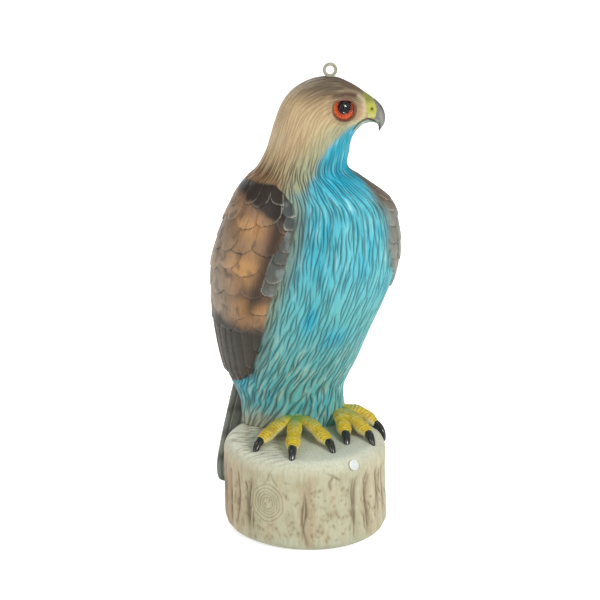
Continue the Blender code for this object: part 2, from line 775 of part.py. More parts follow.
def trunk_levels():
    """Rings of the trunk from its foot to the neck: height, feather row (or none), depth of the wing there."""
    levels = []
    base = STUMP_HEIGHT + SEAT_GAP
    for ring in range(FOOT_RINGS):
        levels.append((mix(base, wing_foot(), ring / FOOT_RINGS), None, 0.0))
    primary_top = wing_top() - COVERT_ROWS * COVERT_LENGTH
    for ring in range(PRIMARY_RINGS):
        levels.append((mix(wing_foot(), primary_top, ring / PRIMARY_RINGS), "primary", 0.0))
    for row in range(COVERT_ROWS, 0, -1):
        tip = wing_top() - row * COVERT_LENGTH
        levels.append((tip - 0.5 * FEATHER_LAP, row, FEATHER_RISE))
        levels.append((tip + 0.5 * FEATHER_LAP, row, 0.0))
    neck_top = trunk_sections()[-1][1]
    for ring in range(NECK_RINGS + 1):
        levels.append((mix(wing_top(), neck_top, ring / NECK_RINGS), None, 0.0))
    return levels


def ring_turns(side):
    """Angles of the lines that run up one half: close together on the wings, further apart on the breast."""
    step = COVERT_WIDTH / COVERT_FACETS / WING_RADIUS
    edge = min(math.pi * share for _, share in WING_EDGE_SHARES)
    turns = [-edge + 2.0 * edge * place / BREAST_SIDES for place in range(BREAST_SIDES + 1)]
    wing_lines = int((math.pi - edge) / step)
    first = math.ceil(edge / step + 0.5)
    for line in range(first, first + wing_lines):
        if line * step < math.pi:
            turns += [line * step, -line * step]
    angles = []
    for turn in turns:
        angle = side * ((turn + FACING + math.pi) % (2.0 * math.pi) - math.pi)
        if 0.4 * step < angle < math.pi - 0.4 * step:
            angles.append(angle)
    angles = [0.0] + sorted(angles) + [math.pi]
    if len(angles) % 2 == 0:
        angles.insert(1, 0.5 * (angles[0] + angles[1]))
    return [side * angle for angle in angles]


def section_point(section, angle, drawn_in):
    """A point of one section; the angle runs from the right edge over the front to the left edge."""
    left_x, left_z, right_x, right_z, seam, front, rear = section
    middle = Vector((0.5 * (left_x + right_x), seam, 0.5 * (left_z + right_z)))
    across = Vector((0.5 * (right_x - left_x), 0.0, 0.5 * (right_z - left_z)))
    depth = front if math.sin(angle) > 0.0 else rear
    half = across.length
    wide = max(half - drawn_in, 0.05 * half)
    deep = max(depth - drawn_in, 0.05 * depth)
    return middle + across.normalized() * wide * math.cos(angle) + Vector((0.0, -deep * math.sin(angle), 0.0))


def wrapped(angle):
    """The turn of an angle from the breast's middle, between minus and plus a half turn."""
    return (angle - FACING + math.pi) % (2.0 * math.pi) - math.pi


def trunk_point(curve, level, angle):
    """A point of the trunk's outside on one of its rings, with the wings' feathers."""
    height, row, depth = level
    turn = wrapped(angle)
    share = wing_share(turn, height)
    if row == "primary":
        depth = primary_depth(turn)
        rise = smooth_share((height - wing_foot()) / COVERT_LENGTH)
        depth *= rise
    elif row is not None:
        corner = covert_corner(turn, row)
        height += share * FEATHER_BOW_SHARE * COVERT_LENGTH * corner * corner
    drawn_in = share * depth + breast_step(turn, height)
    return section_point(section_at(curve, height), angle, drawn_in)


def head_point(section, angle):
    """A point of the head's outside, with the brow over the eye and the hollow round it."""
    point = section_point(section, angle, 0.0)
    ahead = (point.x - EYE_PLACE_SHARES[0] * BIRD_HALF_WIDTH) / EYE_DIAMETER
    above = (point.z - STUMP_HEIGHT - EYE_PLACE_SHARES[1] * BIRD_HEIGHT) / EYE_DIAMETER
    off_brow = (above - BROW_RISE_SHARE + BROW_SLOPE_SHARE * ahead) / BROW_WIDTH_SHARE
    along = ahead / BROW_LENGTH_SHARE
    swell = BROW_HEIGHT * math.exp(-off_brow * off_brow - along * along)
    ring = math.hypot(ahead, above) / SOCKET_REACH_SHARE
    hollow = SOCKET_DEPTH * math.exp(-ring * ring)
    sideways = abs(math.sin(angle))
    return point + Vector((0.0, math.copysign(1.0, point.y) * sideways * (swell - hollow), 0.0))


def half_body(name, material, side):
    """One solid half of the bird, flat on the parting surface; side is 1 for the front, -1 for the rear."""
    curve = trunk_curve()
    back_off = Vector((0.0, -side * 0.5 * SEAT_GAP, 0.0))
    turns = ring_turns(side)
    rings = [[trunk_point(curve, level, angle) + back_off for angle in turns] for level in trunk_levels()]
    for section in head_rings():
        rings.append([head_point(section, angle) + back_off for angle in turns[::2]])
    return mesh_object(name, loft(rings), material)


def body_cavity():
    """The hollow inside both halves, open at the foot and closed behind the beak."""
    curve = trunk_curve()
    wall = SHELL_WALL + FEATHER_RISE
    turns = [math.pi * step / CAVITY_SIDES for step in range(2 * CAVITY_SIDES)]
    low = STUMP_HEIGHT + SEAT_GAP
    high = trunk_sections()[-1][1]
    rings = []
    for ring in range(CAVITY_RINGS + 1):
        height = mix(low, high, ring / CAVITY_RINGS)
        section = section_at(curve, height)
        depths = [wall + breast_step(wrapped(turn), height) for turn in turns]
        rings.append([section_point(section, turn, depth) for turn, depth in zip(turns, depths)])
    for section in head_rings()[:HEAD_STEPS * CAVITY_HEAD_SECTIONS:HEAD_STEPS]:
        rings.append([section_point(section, turn, SHELL_WALL + SOCKET_DEPTH) for turn in turns])
    below = [point - Vector((0.0, 0.0, OVERRUN)) for point in rings[0]]
    return loft([below] + rings)


def make_tail():
    """The tail, a flat tapered blade that hangs behind the stump."""
    rings = []
    wide_way = Vector((math.cos(TAIL_TURN), math.sin(TAIL_TURN), 0.0))
    deep_way = Vector((-math.sin(TAIL_TURN), math.cos(TAIL_TURN), 0.0))
    last = len(TAIL_SHARES) - 1
    for step in range(2 * last + 1):
        x, y, height, width, thickness = curve_through(TAIL_SHARES, 0.5 * step)
        middle = Vector((x * BIRD_HALF_WIDTH, y * BIRD_HALF_DEPTH, height * STUMP_HEIGHT))
        ring = []
        for side in range(TAIL_SIDES):
            turn = 2.0 * math.pi * side / TAIL_SIDES
            rib = 1.0 - TAIL_RIB_SHARE * (side % 2)
            ring.append(
                middle
                + wide_way * width * TAIL_HALF_WIDTH * math.cos(turn)
                + deep_way * thickness * TAIL_HALF_THICKNESS * rib * math.sin(turn)
            )
        rings.append(ring)
    return loft(rings)


def surface_depth(x, height):
    """Half depth of the head at a place seen from the front, found between the nearest sections."""
    best = None
    for section in head_rings():
        left_x, left_z, right_x, right_z, _, front, _ = section
        middle = Vector((0.5 * (left_x + right_x), 0.0, 0.5 * (left_z + right_z)))
        across = Vector((0.5 * (right_x - left_x), 0.0, 0.5 * (right_z - left_z)))
        offset = Vector((x, 0.0, height)) - middle
        along = offset.dot(across.normalized())
        off_plane = (offset - across.normalized() * along).length
        share = min(1.0, abs(along) / across.length)
        depth = front * math.sqrt(1.0 - share * share)
        if best is None or off_plane < best[0]:
            best = (off_plane, depth)
    return best[1]


def eye_frame(side):
    """Place of one eye, its Z along the eye's axis and its origin on the head's surface."""
    x = EYE_PLACE_SHARES[0] * BIRD_HALF_WIDTH
    height = STUMP_HEIGHT + EYE_PLACE_SHARES[1] * BIRD_HEIGHT
    place = Vector((x, -side * surface_depth(x, height), height))
    axis = Vector((
        math.sin(EYE_TOE_IN) * math.cos(EYE_UPTURN),
        -side * math.cos(EYE_TOE_IN) * math.cos(EYE_UPTURN),
        math.sin(EYE_UPTURN),
    ))
    turn = Vector((0.0, 0.0, 1.0)).rotation_difference(axis).to_matrix().to_4x4()
    return Matrix.Translation(place) @ turn


def eye_levels():
    """Heights along the eye's axis: the dome's edge, the iris's and the cup's undersides and the seat."""
    dome_low = -EYE_SINK
    iris_low = dome_low - SEAT_GAP - EYE_IRIS_THICKNESS
    cup_low = iris_low - SEAT_GAP - EYE_CUP_THICKNESS
    return dome_low, iris_low, cup_low, cup_low - SEAT_GAP


def eye_boss(side):
    """The stiff seat behind an eye, kept out of the hollow."""
    seat = eye_levels()[3]
    radius = 0.5 * EYE_DIAMETER + FIT_GAP + EYE_BOSS_WALL
    low = seat - EYE_BOSS_WALL
    return hidden_tool("eye_boss", turned((
        (0.0, low),
        (radius, low),
        (radius, OVERRUN),
        (0.0, OVERRUN),
    ), EYE_SIDES), eye_frame(side))


def eye_pocket(side):
    """The round pocket that an eye sits in, with the bore for its stem."""
    seat = eye_levels()[3]
    radius = 0.5 * EYE_DIAMETER + FIT_GAP
    stem = 0.5 * EYE_STEM_DIAMETER + FIT_GAP
    return hidden_tool("eye_pocket", turned((
        (0.0, seat - EYE_STEM_LENGTH - OVERRUN),
        (stem, seat - EYE_STEM_LENGTH - OVERRUN),
        (stem, seat),
        (radius, seat),
        (radius, 2.0 * OVERRUN),
        (0.0, 2.0 * OVERRUN),
    ), EYE_SIDES), eye_frame(side))


def make_eye(name, side, materials):
    """One eye: a black cup with a push-in stem, a printed iris disc and a clear dome."""
    dome_low, iris_low, cup_low, _ = eye_levels()
    radius = 0.5 * EYE_DIAMETER
    stem = 0.5 * EYE_STEM_DIAMETER
    lead = 0.2 * EYE_STEM_DIAMETER
    cup = mesh_object(name + "_eye_cup", turned((
        (0.0, cup_low - EYE_STEM_LENGTH),
        (stem - lead, cup_low - EYE_STEM_LENGTH),
        (stem, cup_low - EYE_STEM_LENGTH + lead),
        (stem, cup_low),
        (radius, cup_low),
        (radius, cup_low + EYE_CUP_THICKNESS),
        (0.0, cup_low + EYE_CUP_THICKNESS),
    ), EYE_SIDES), materials["eye_black"])
    iris = mesh_object(name + "_eye_iris", turned((
        (0.0, iris_low),
        (radius, iris_low),
        (radius, iris_low + EYE_IRIS_THICKNESS),
        (0.0, iris_low + EYE_IRIS_THICKNESS),
    ), EYE_SIDES), materials["iris"])
    ball = (radius * radius + EYE_DOME_HEIGHT * EYE_DOME_HEIGHT) / (2.0 * EYE_DOME_HEIGHT)
    spread = math.asin(radius / ball)
    dome_steps = 5
    profile = [(0.0, dome_low)]
    for step in range(dome_steps):
        turn = spread * (1.0 - step / dome_steps)
        profile.append((ball * math.sin(turn), dome_low + EYE_DOME_HEIGHT - ball * (1.0 - math.cos(turn))))
    profile.append((0.0, dome_low + EYE_DOME_HEIGHT))
    dome = mesh_object(name + "_eye_dome", turned(profile, EYE_SIDES), materials["clear"])
    for piece in (cup, iris, dome):
        piece.matrix_world = eye_frame(side)
    return [cup, iris, dome]


def crown_height(x):
    """Height of the crown's outline over a given x."""
    outline = [(section[0], section[1]) for section in head_rings()]
    outline = [row for row in outline if row[1] > STUMP_HEIGHT + 0.9 * BIRD_HEIGHT]
    for (low_x, low_z), (high_x, high_z) in zip(outline, outline[1:]):
        if low_x <= x <= high_x:
            return mix(low_z, high_z, (x - low_x) / (high_x - low_x))
    return STUMP_HEIGHT + BIRD_HEIGHT


def ring_frame():
    """Place of the hanging ring: its origin on the crown, Z up along its neck and Y square to its flat."""
    x = RING_PLACE_SHARE * BIRD_HALF_WIDTH
    return Matrix.Translation((x, 0.0, crown_height(x)))


def ring_blocks(growth):
    """The flared foot, the neck and the root of the hanging ring, grown for the slot that they sit in."""
    half_deep = 0.5 * RING_THICKNESS + growth
    neck_low = -SHELL_WALL - FEATHER_RISE - SEAT_GAP - 0.5 * RING_ROOT_HEIGHT
    levels = (
        (RING_FOOT, -RING_FOOT_SINK - growth),
        (RING_FOOT, -0.5 * RING_FOOT_SINK),
        (RING_NECK, ring_neck_top()),
    )
    rings = []
    for width, height in levels:
        half_wide = 0.5 * width + 2.0 * growth
        rings.append([
            Vector((across * half_wide, along * half_deep, height))
            for across, along in ((-1, -1), (1, -1), (1, 1), (-1, 1))
        ])
    neck_top = 0.5 * ring_neck_top()
    neck = box(
        (RING_NECK + 2.0 * growth, 2.0 * half_deep, neck_top - neck_low),
        (0.0, 0.0, 0.5 * (neck_top + neck_low)),
    )
    root = box(
        (RING_ROOT_WIDTH + 2.0 * growth, 2.0 * half_deep, RING_ROOT_HEIGHT + 2.0 * growth),
        (0.0, 0.0, neck_low),
    )
    return loft(rings), neck, root


def ring_neck_top():
    """Height at which the neck has run halfway into the ring's own wall."""
    return RING_RISE - 0.25 * (RING_BORE + RING_DIAMETER)


def ring_upright():
    """The ring's turn from flat on its back to standing on the crown."""
    return Matrix.Translation((0.0, 0.0, RING_RISE)) @ Matrix.Rotation(0.5 * math.pi, 4, "X")


def ring_disc(growth):
    """The disc that the ring is bored from, with softened edges."""
    half = 0.5 * RING_THICKNESS + growth
    outer = 0.5 * RING_DIAMETER + growth
    soft = 0.2 * RING_THICKNESS
    disc = turned((
        (0.0, -half),
        (outer - soft, -half),
        (outer, soft - half),
        (outer, half - soft),
        (outer - soft, half),
        (0.0, half),
    ), RING_SIDES)
    bmesh.ops.transform(disc, matrix=ring_upright(), verts=disc.verts)
    return disc


def ring_slot():
    """The room that the hanging ring needs in the shells, as one solid."""
    slot = hidden_tool("ring_slot", ring_disc(FIT_GAP))
    for block in ring_blocks(FIT_GAP):
        combine(slot, hidden_tool("ring_block", block), "UNION")
    slot.matrix_world = ring_frame()
    return slot


def make_hanging_ring(material):
    """A flat ring on a neck that flares into the crown, with a root that the two halves trap."""
    ring = mesh_object("hanging_ring", ring_disc(0.0), material)
    for block in ring_blocks(0.0):
        combine(ring, hidden_tool("ring_block", block), "UNION")
    bore = turned((
        (0.0, -RING_THICKNESS),
        (0.5 * RING_BORE, -RING_THICKNESS),
        (0.5 * RING_BORE, RING_THICKNESS),
        (0.0, RING_THICKNESS),
    ), RING_SIDES)
    bmesh.ops.transform(bore, matrix=ring_upright(), verts=bore.verts)
    combine(ring, hidden_tool("ring_bore", bore), "DIFFERENCE")
    ring.matrix_world = ring_frame()
    return ring


def stump_surface(x, y):
    """Height of the stump's top at a place in plan, following its rounded rim."""
    across = (x - STUMP_X) / STUMP_HALF_WIDTH
    along = (y - STUMP_Y) / STUMP_HALF_DEPTH
    reach = math.hypot(across, along)
    mean = 0.5 * (STUMP_HALF_WIDTH + STUMP_HALF_DEPTH)
    inside = (1.0 - reach) * mean
    if inside >= STUMP_RIM_ROUND:
        return STUMP_HEIGHT
    drop = STUMP_RIM_ROUND - max(inside, 0.0)
    return STUMP_HEIGHT - STUMP_RIM_ROUND + math.sqrt(STUMP_RIM_ROUND ** 2 - drop ** 2)


def tube(points, radii, sides, flatten, first_way=None):
    """A capped tube along points, with a radius for each.

    flatten sets its height against its width, and first_way turns its first end square to a direction.
    """
    rings = []
    count = len(points)
    for index, (point, radius) in enumerate(zip(points, radii)):
        ahead = points[min(index + 1, count - 1)] - points[max(index - 1, 0)]
        if index == 0 and first_way is not None:
            ahead = first_way
        wide_way = ahead.cross(Vector((0.0, 0.0, 1.0))).normalized()
        high_way = wide_way.cross(ahead).normalized()
        ring = []
        for side in range(sides):
            turn = 2.0 * math.pi * side / sides
            wide = wide_way * radius * math.cos(turn)
            high = high_way * radius * flatten * math.sin(turn)
            ring.append(point + wide + high)
        rings.append(ring)
    return loft(rings)


def ankle_place(foot):
    """Middle of an ankle in plan, under the bird."""
    across_share, along_share = FEET_SHARES[foot]["ankle"]
    return Vector((across_share * BIRD_HALF_WIDTH, along_share * BIRD_HALF_DEPTH, 0.0))


def toe_line(foot, toe):
    """Middle line of a toe from inside the ankle to its end."""
    start = ankle_place(foot)
    end = stump_place(*FEET_SHARES[foot][toe], 0.0)
    points = []
    for ring in range(TOE_RINGS):
        share = ring / (TOE_RINGS - 1)
        x = mix(start.x, end.x, share)
        y = mix(start.y, end.y, share)
        bend = math.sin(math.pi * (1.0 - share) ** TOE_ARCH_POWER)
        lift = TOE_RADIUS * TOE_FLATTEN_SHARE * TOE_SEAT_SHARE + TOE_ARCH * bend
        points.append(Vector((x, y, stump_surface(x, y) + lift)))
    return points


def toe_radii(growth):
    """Radii along a toe, with a swell at each knuckle and a blunt end."""
    radii = []
    for ring in range(TOE_RINGS):
        share = ring / (TOE_RINGS - 1)
        swell = KNUCKLE_SWELL_SHARE * math.cos(2.0 * math.pi * TOE_KNUCKLES * share)
        past = max(0.0, (share - TOE_END_SHARE) / (1.0 - TOE_END_SHARE))
        end = 1.0 - TOE_BLUNT_SHARE * past
        radii.append(TOE_RADIUS * (1.0 - swell) * end + growth)
    return radii


def foot_shape(name, foot, material, growth):
    """One foot: a tapered ankle and three toes; growth makes it the cutter for its recess."""
    ankle = ankle_place(foot)
    base = STUMP_HEIGHT + SEAT_GAP - growth
    top = STUMP_HEIGHT + ANKLE_HEIGHT + growth
    points = []
    radii = []
    for level in range(ANKLE_RINGS):
        share = level / (ANKLE_RINGS - 1)
        points.append(Vector((ankle.x, ankle.y, mix(base, top, share))))
        radii.append(mix(ANKLE_RADIUS, ANKLE_TOP_RADIUS, smooth_share(share)) + growth)
    rings = []
    for point, radius in zip(points, radii):
        rings.append([
            point + Vector((radius * math.cos(turn), radius * math.sin(turn), 0.0))
            for turn in (2.0 * math.pi * (side + 0.5) / TOE_SIDES for side in range(TOE_SIDES))
        ])
    body = mesh_object(name, loft(rings), material)
    for toe in ("inner", "middle", "outer"):
        line = tube(toe_line(foot, toe), toe_radii(growth), TOE_SIDES, TOE_FLATTEN_SHARE)
        combine(body, hidden_tool("toe_" + toe, line), "UNION")
    return body


def grown_stump():
    """The stump's outside, grown by the seat gap, which the feet and claws are cut to."""
    return hidden_tool("stump_room", loft(stump_rings(SEAT_GAP, False)))


def make_foot(foot, material):
    """A foot whose underside follows the stump's top and rim."""
    body = foot_shape(foot + "_foot", foot, material, 0.0)
    combine(body, grown_stump(), "DIFFERENCE")
    return body


def make_claw(foot, toe, material):
    """A curved, pointed claw that seats on its toe's end and hooks over the rim."""
    line = toe_line(foot, toe)
    toe_way = (line[-1] - line[-2]).normalized()
    ahead = Vector((toe_way.x, toe_way.y - CLAW_FORWARD_SHARE, 0.0)).normalized()
    start = line[-1] + toe_way * SEAT_GAP
    points = []
    radii = []
    for ring in range(CLAW_RINGS):
        share = ring / (CLAW_RINGS - 1)
        forward = CLAW_REACH * math.sin(0.5 * math.pi * share)
        down = CLAW_DROP * (1.0 - math.cos(0.5 * math.pi * share))
        points.append(start + ahead * forward - Vector((0.0, 0.0, down)))
        radii.append(CLAW_RADIUS * mix(1.0, CLAW_TIP_SHARE, share ** CLAW_TAPER_POWER))
    claw = mesh_object(foot + "_claw_" + toe, tube(points, radii, CLAW_SIDES, 1.0, toe_way), material)
    combine(claw, grown_stump(), "DIFFERENCE")
    return claw


def make_shells(materials):
    """The front and rear half shells, hollow, with recesses for what they hold."""
    shells = [
        half_body("front_shell", materials["front_paint"], 1),
        half_body("rear_shell", materials["rear_paint"], -1),
    ]
    combine(shells[1], hidden_tool("tail", make_tail()), "UNION")
    for shell, side in zip(shells, (1, -1)):
        cavity = hidden_tool("cavity", body_cavity())
        combine(cavity, eye_boss(side), "DIFFERENCE")
        combine(shell, cavity, "DIFFERENCE")
        combine(shell, eye_pocket(side), "DIFFERENCE")
        combine(shell, ring_slot(), "DIFFERENCE")
        for foot in FEET_SHARES:
            combine(shell, foot_cutter(foot), "DIFFERENCE")
    return shells


def foot_cutter(foot):
    """The room that a foot needs in the shells."""
    cutter = foot_shape(foot + "_room", foot, None, FIT_GAP)
    cutter.hide_render = True
    cutter.display_type = "WIRE"
    return cutter


def make_materials():
    """One finish for each kind of surface."""
    return {
        "front_paint": finish_material("front_paint", (0.10, 0.50, 0.60), 0.5),
        "rear_paint": finish_material("rear_paint", (0.10, 0.085, 0.07), 0.55),
        "bare_plastic": finish_material("bare_plastic", (0.55, 0.53, 0.45), 0.45),
        "stump_paint": finish_material("stump_paint", (0.55, 0.53, 0.38), 0.6),
        "white_plastic": finish_material("white_plastic", (0.75, 0.76, 0.75), 0.4),
        "foot_paint": finish_material("foot_paint", (0.68, 0.45, 0.03), 0.5),
        "claw_paint": finish_material("claw_paint", (0.012, 0.012, 0.012), 0.25),
        "eye_black": finish_material("eye_black", (0.01, 0.01, 0.01), 0.3),
        "iris": finish_material("iris", (0.62, 0.10, 0.02), 0.35),
        "clear": finish_material("clear", (0.9, 0.9, 0.9), 0.05),
    }


def stand_on_origin(pieces):
    """Carry every piece on one empty, with the middle of the whole part's foot at the origin."""
    bpy.context.view_layer.update()
    corners = [piece.matrix_world @ vertex.co for piece in pieces for vertex in piece.data.vertices]
    low = [min(corner[axis] for corner in corners) for axis in range(3)]
    high = [max(corner[axis] for corner in corners) for axis in range(3)]
    root = bpy.data.objects.new("hawk_decoy", None)
    bpy.context.scene.collection.objects.link(root)
    for piece in pieces:
        piece.parent = root
    root.location = (-0.5 * (low[0] + high[0]), -0.5 * (low[1] + high[1]), -low[2])


def main():
    """Build the whole decoy."""
    clear_scene()
    materials = make_materials()
    pieces = make_shells(materials)
    pieces.append(make_hanging_ring(materials["bare_plastic"]))
    pieces.append(make_stump(materials["stump_paint"]))
    pieces.append(make_base_cover(materials["stump_paint"]))
    pieces.append(make_filler_plug(materials["white_plastic"]))
    pieces.append(make_vent_plug(materials["white_plastic"]))
    for foot in FEET_SHARES:
        pieces.append(make_foot(foot, materials["foot_paint"]))
        for toe in ("inner", "middle", "outer"):
            pieces.append(make_claw(foot, toe, materials["claw_paint"]))
    pieces += make_eye("right", 1, materials)
    pieces += make_eye("left", -1, materials)
    stand_on_origin(pieces)


main()
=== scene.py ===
"""Looks of a hawk decoy on a log stump: sculpted half shells, set-in eyes, painted feet and bark.

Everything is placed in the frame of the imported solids, in metres, with Z up. Each sub-assembly is a
class that makes its pieces, and each finish is a class that makes its material.
"""

import logging
import math
from dataclasses import dataclass
from enum import Enum
from typing import Sequence

import bmesh
import bpy
import numpy as np
from mathutils import Matrix, Vector


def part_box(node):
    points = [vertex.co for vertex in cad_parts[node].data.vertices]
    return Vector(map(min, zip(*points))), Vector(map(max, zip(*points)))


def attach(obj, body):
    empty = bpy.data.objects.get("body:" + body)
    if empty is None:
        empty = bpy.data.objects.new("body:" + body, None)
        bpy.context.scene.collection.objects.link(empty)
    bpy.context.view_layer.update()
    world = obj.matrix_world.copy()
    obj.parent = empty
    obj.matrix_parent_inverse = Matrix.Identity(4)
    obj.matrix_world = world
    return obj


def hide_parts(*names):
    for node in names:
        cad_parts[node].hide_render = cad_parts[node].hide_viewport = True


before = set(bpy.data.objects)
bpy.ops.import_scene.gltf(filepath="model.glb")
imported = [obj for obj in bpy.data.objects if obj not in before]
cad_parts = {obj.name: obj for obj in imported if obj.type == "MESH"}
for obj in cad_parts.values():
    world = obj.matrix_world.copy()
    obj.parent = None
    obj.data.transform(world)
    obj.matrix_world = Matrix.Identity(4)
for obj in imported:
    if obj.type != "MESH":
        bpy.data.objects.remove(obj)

LOG = logging.getLogger("hawk_decoy")
MM = 0.001
Colour = tuple[float, float, float]
Array = np.ndarray
Line = Sequence[tuple[float, float]]
Rows = Sequence[tuple[float, ...]]
Socket = bpy.types.NodeSocket
Mesh = bpy.types.Mesh
Finish = bpy.types.Material
Piece = bpy.types.Object
TURN = 2 * math.pi


class Slot(str, Enum):
    """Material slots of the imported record."""

    FRONT = "front_paint"
    REAR = "rear_paint"
    BARE = "bare_plastic"
    STUMP = "stump_paint"
    WHITE = "white_plastic"
    FOOT = "foot_paint"
    CLAW = "claw_paint"
    EYE_BLACK = "eye_black"
    IRIS = "iris"
    CLEAR = "clear"


class Half(Enum):
    """The two half shells; the value points out of each, along minus Y for the front."""

    FRONT = 1
    REAR = -1


class Kind(Enum):
    """What a feather is: a small one in a row, a long one, or one on the wing's front edge."""

    COVERT = 0
    PRIMARY = 1
    SCALLOP = 2


class Part(Enum):
    """The two stretches of a half shell's skin: first and last section, rings and points on each ring."""

    TRUNK = (0, 11, 302, 328)
    HEAD = (10.98, 26, 322, 300)


# Numbers and noise

def srgb(red: int, green: int, blue: int) -> Colour:
    """A linear colour from 0 to 255 display values."""
    shares = [value / 255 for value in (red, green, blue)]
    return tuple(((v + 0.055) / 1.055) ** 2.4 if v > 0.04 else v / 12.92 for v in shares)


def smooth(low: float, high: float, value: Array) -> Array:
    """A soft step from 0 at low to 1 at high."""
    share = np.clip((np.asarray(value, float) - low) / (high - low), 0, 1)
    return share * share * (3 - 2 * share)


def bell(value: Array, width: float = 1) -> Array:
    """A bell of height 1 at 0 that falls to about a third at width."""
    return np.exp(-np.square(np.asarray(value, float) / width))


def lay(base: Array, colour: Colour | Array, mask: Array) -> Array:
    """Lay a colour over colours where the mask says so."""
    share = np.clip(mask, 0, 1)[..., None]
    return base * (1 - share) + np.asarray(colour) * share


def ground(like: Array, red: int, green: int, blue: int) -> Array:
    """One colour at every point, from 0 to 255 display values."""
    return np.zeros(like.shape + (3,)) + srgb(red, green, blue)


def airbrush(base: Array, **coats: tuple[tuple[int, int, int], Array]) -> Array:
    """Spray coats over colours, one after another.

    Args:
        base: the colours under them.
        coats: a display colour and a mask for each coat, under the coat's name.

    Returns:
        The new colours.
    """
    for colour, mask in coats.values():
        base = lay(base, srgb(*colour), mask)
    return base


def stack(*parts: Array | float) -> Array:
    """Vectors from their parts, which may be single numbers."""
    return np.stack(np.broadcast_arrays(*parts), axis=-1)


def unit(vectors: Array) -> Array:
    """Vectors brought to length 1."""
    return vectors / np.linalg.norm(vectors, axis=-1, keepdims=True)


def wrap(angle: Array) -> Array:
    """Angles brought to between minus and plus half a turn."""
    return (angle + math.pi) % TURN - math.pi


def running(steps: Array) -> Array:
    """The sum of the steps up to each place, from 0."""
    return np.concatenate([[0], np.cumsum(steps)])


def between(rows: Array, places: Array) -> Array:
    """Rows read along one smooth curve; a place runs from 0 to the last row."""
    last = len(rows) - 1
    start = np.clip(places.astype(int), 0, last - 1)
    step = (places - start)[:, None]
    before, low, high, after = (rows[np.clip(start + offset, 0, last)] for offset in (-1, 0, 1, 2))
    bend = 2 * before - 5 * low + 4 * high - after
    twist = 3 * (low - high) + after - before
    return low + 0.5 * step * (high - before + step * (bend + step * twist))


class Noise:
    """Seeded gradient noise on arrays of points, the same in every run."""

    def __init__(self, seed: int) -> None:
        rng = np.random.default_rng(seed)
        self.order = np.concatenate([rng.permutation(256)] * 3)
        self.ways = unit(rng.normal(size=(256, 3)))

    def __call__(self, x: Array, y: Array, z: Array | float = 0) -> Array:
        """Noise between about -1 and 1 with one feature per unit."""
        x, y, z = np.broadcast_arrays(*(np.asarray(v, float) for v in (x, y, z)))
        cell = [np.floor(v).astype(int) for v in (x, y, z)]
        part = [v - c for v, c in zip((x, y, z), cell)]
        ease = [p * p * p * (p * (p * 6 - 15) + 10) for p in part]
        total = np.zeros(x.shape)
        for dx in (0, 1):
            for dy in (0, 1):
                for dz in (0, 1):
                    key = self.order[(cell[0] + dx) & 255]
                    key = self.order[(key + cell[1] + dy) & 511]
                    way = self.ways[self.order[(key + cell[2] + dz) & 511]]
                    dot = sum(way[..., axis] * (part[axis] - step) for axis, step in enumerate((dx, dy, dz)))
                    for step, share in zip((dx, dy, dz), ease):
                        dot = dot * (share if step else 1 - share)
                    total += dot
        return total * 1.6

    def layers(self, x: Array, y: Array, z: Array | float = 0, count: int = 3) -> Array:
        """Several octaves of noise, each half as strong and twice as fine."""
        total = 0
        for octave in range(count):
            scale = 2 ** octave
            total = total + self(x * scale + 17 * octave, y * scale, np.asarray(z) * scale) / scale
        return total


def line_distance(x: Array, z: Array, line: Line, lift: float = 0) -> Array:
    """Distance in a plane from points to a chain of straight stretches, which may be lifted."""
    best = np.full(np.shape(x), 1e9)
    points = [(across, height + lift) for across, height in line]
    for (ax, az), (bx, bz) in zip(points, points[1:]):
        dx, dz = bx - ax, bz - az
        share = np.clip(((x - ax) * dx + (z - az) * dz) / (dx * dx + dz * dz), 0, 1)
        best = np.minimum(best, np.hypot(x - ax - share * dx, z - az - share * dz))
    return best


def table(points: Line, value: Array) -> Array:
    """Straight-line reading of a table of pairs."""
    rows = sorted(points)
    return np.interp(value, [row[0] for row in rows], [row[1] for row in rows])


def at_height(line: Line, z: Array) -> Array:
    """How far across a line lies at each height."""
    return table([(height, across) for across, height in line], z)


# Meshes

def link(piece: Piece) -> None:
    """Put an object in the scene."""
    bpy.context.scene.collection.objects.link(piece)


def make_object(name: str, mesh: Mesh, material: Finish) -> Piece:
    """Put a mesh in the scene at the origin with one material."""
    piece = bpy.data.objects.new(name, mesh)
    link(piece)
    mesh.materials.append(material)
    mesh.polygons.foreach_set("use_smooth", [True] * len(mesh.polygons))
    return piece


def vertex_values(mesh: Mesh, kind: str) -> Array:
    """Positions or normals of a mesh's points, by their name in the mesh."""
    values = np.empty(len(mesh.vertices) * 3)
    mesh.vertices.foreach_get(kind, values)
    return values.reshape(-1, 3)


def add_layer(mesh: Mesh, name: str, values: Array) -> None:
    """Keep a number or a colour for each point of a mesh."""
    if values.ndim == 1:
        mesh.attributes.new(name, "FLOAT", "POINT").data.foreach_set("value", values)
        return
    colours = np.hstack([values, np.ones((len(values), 1))])
    mesh.attributes.new(name, "FLOAT_COLOR", "POINT").data.foreach_set("color", colours.ravel())


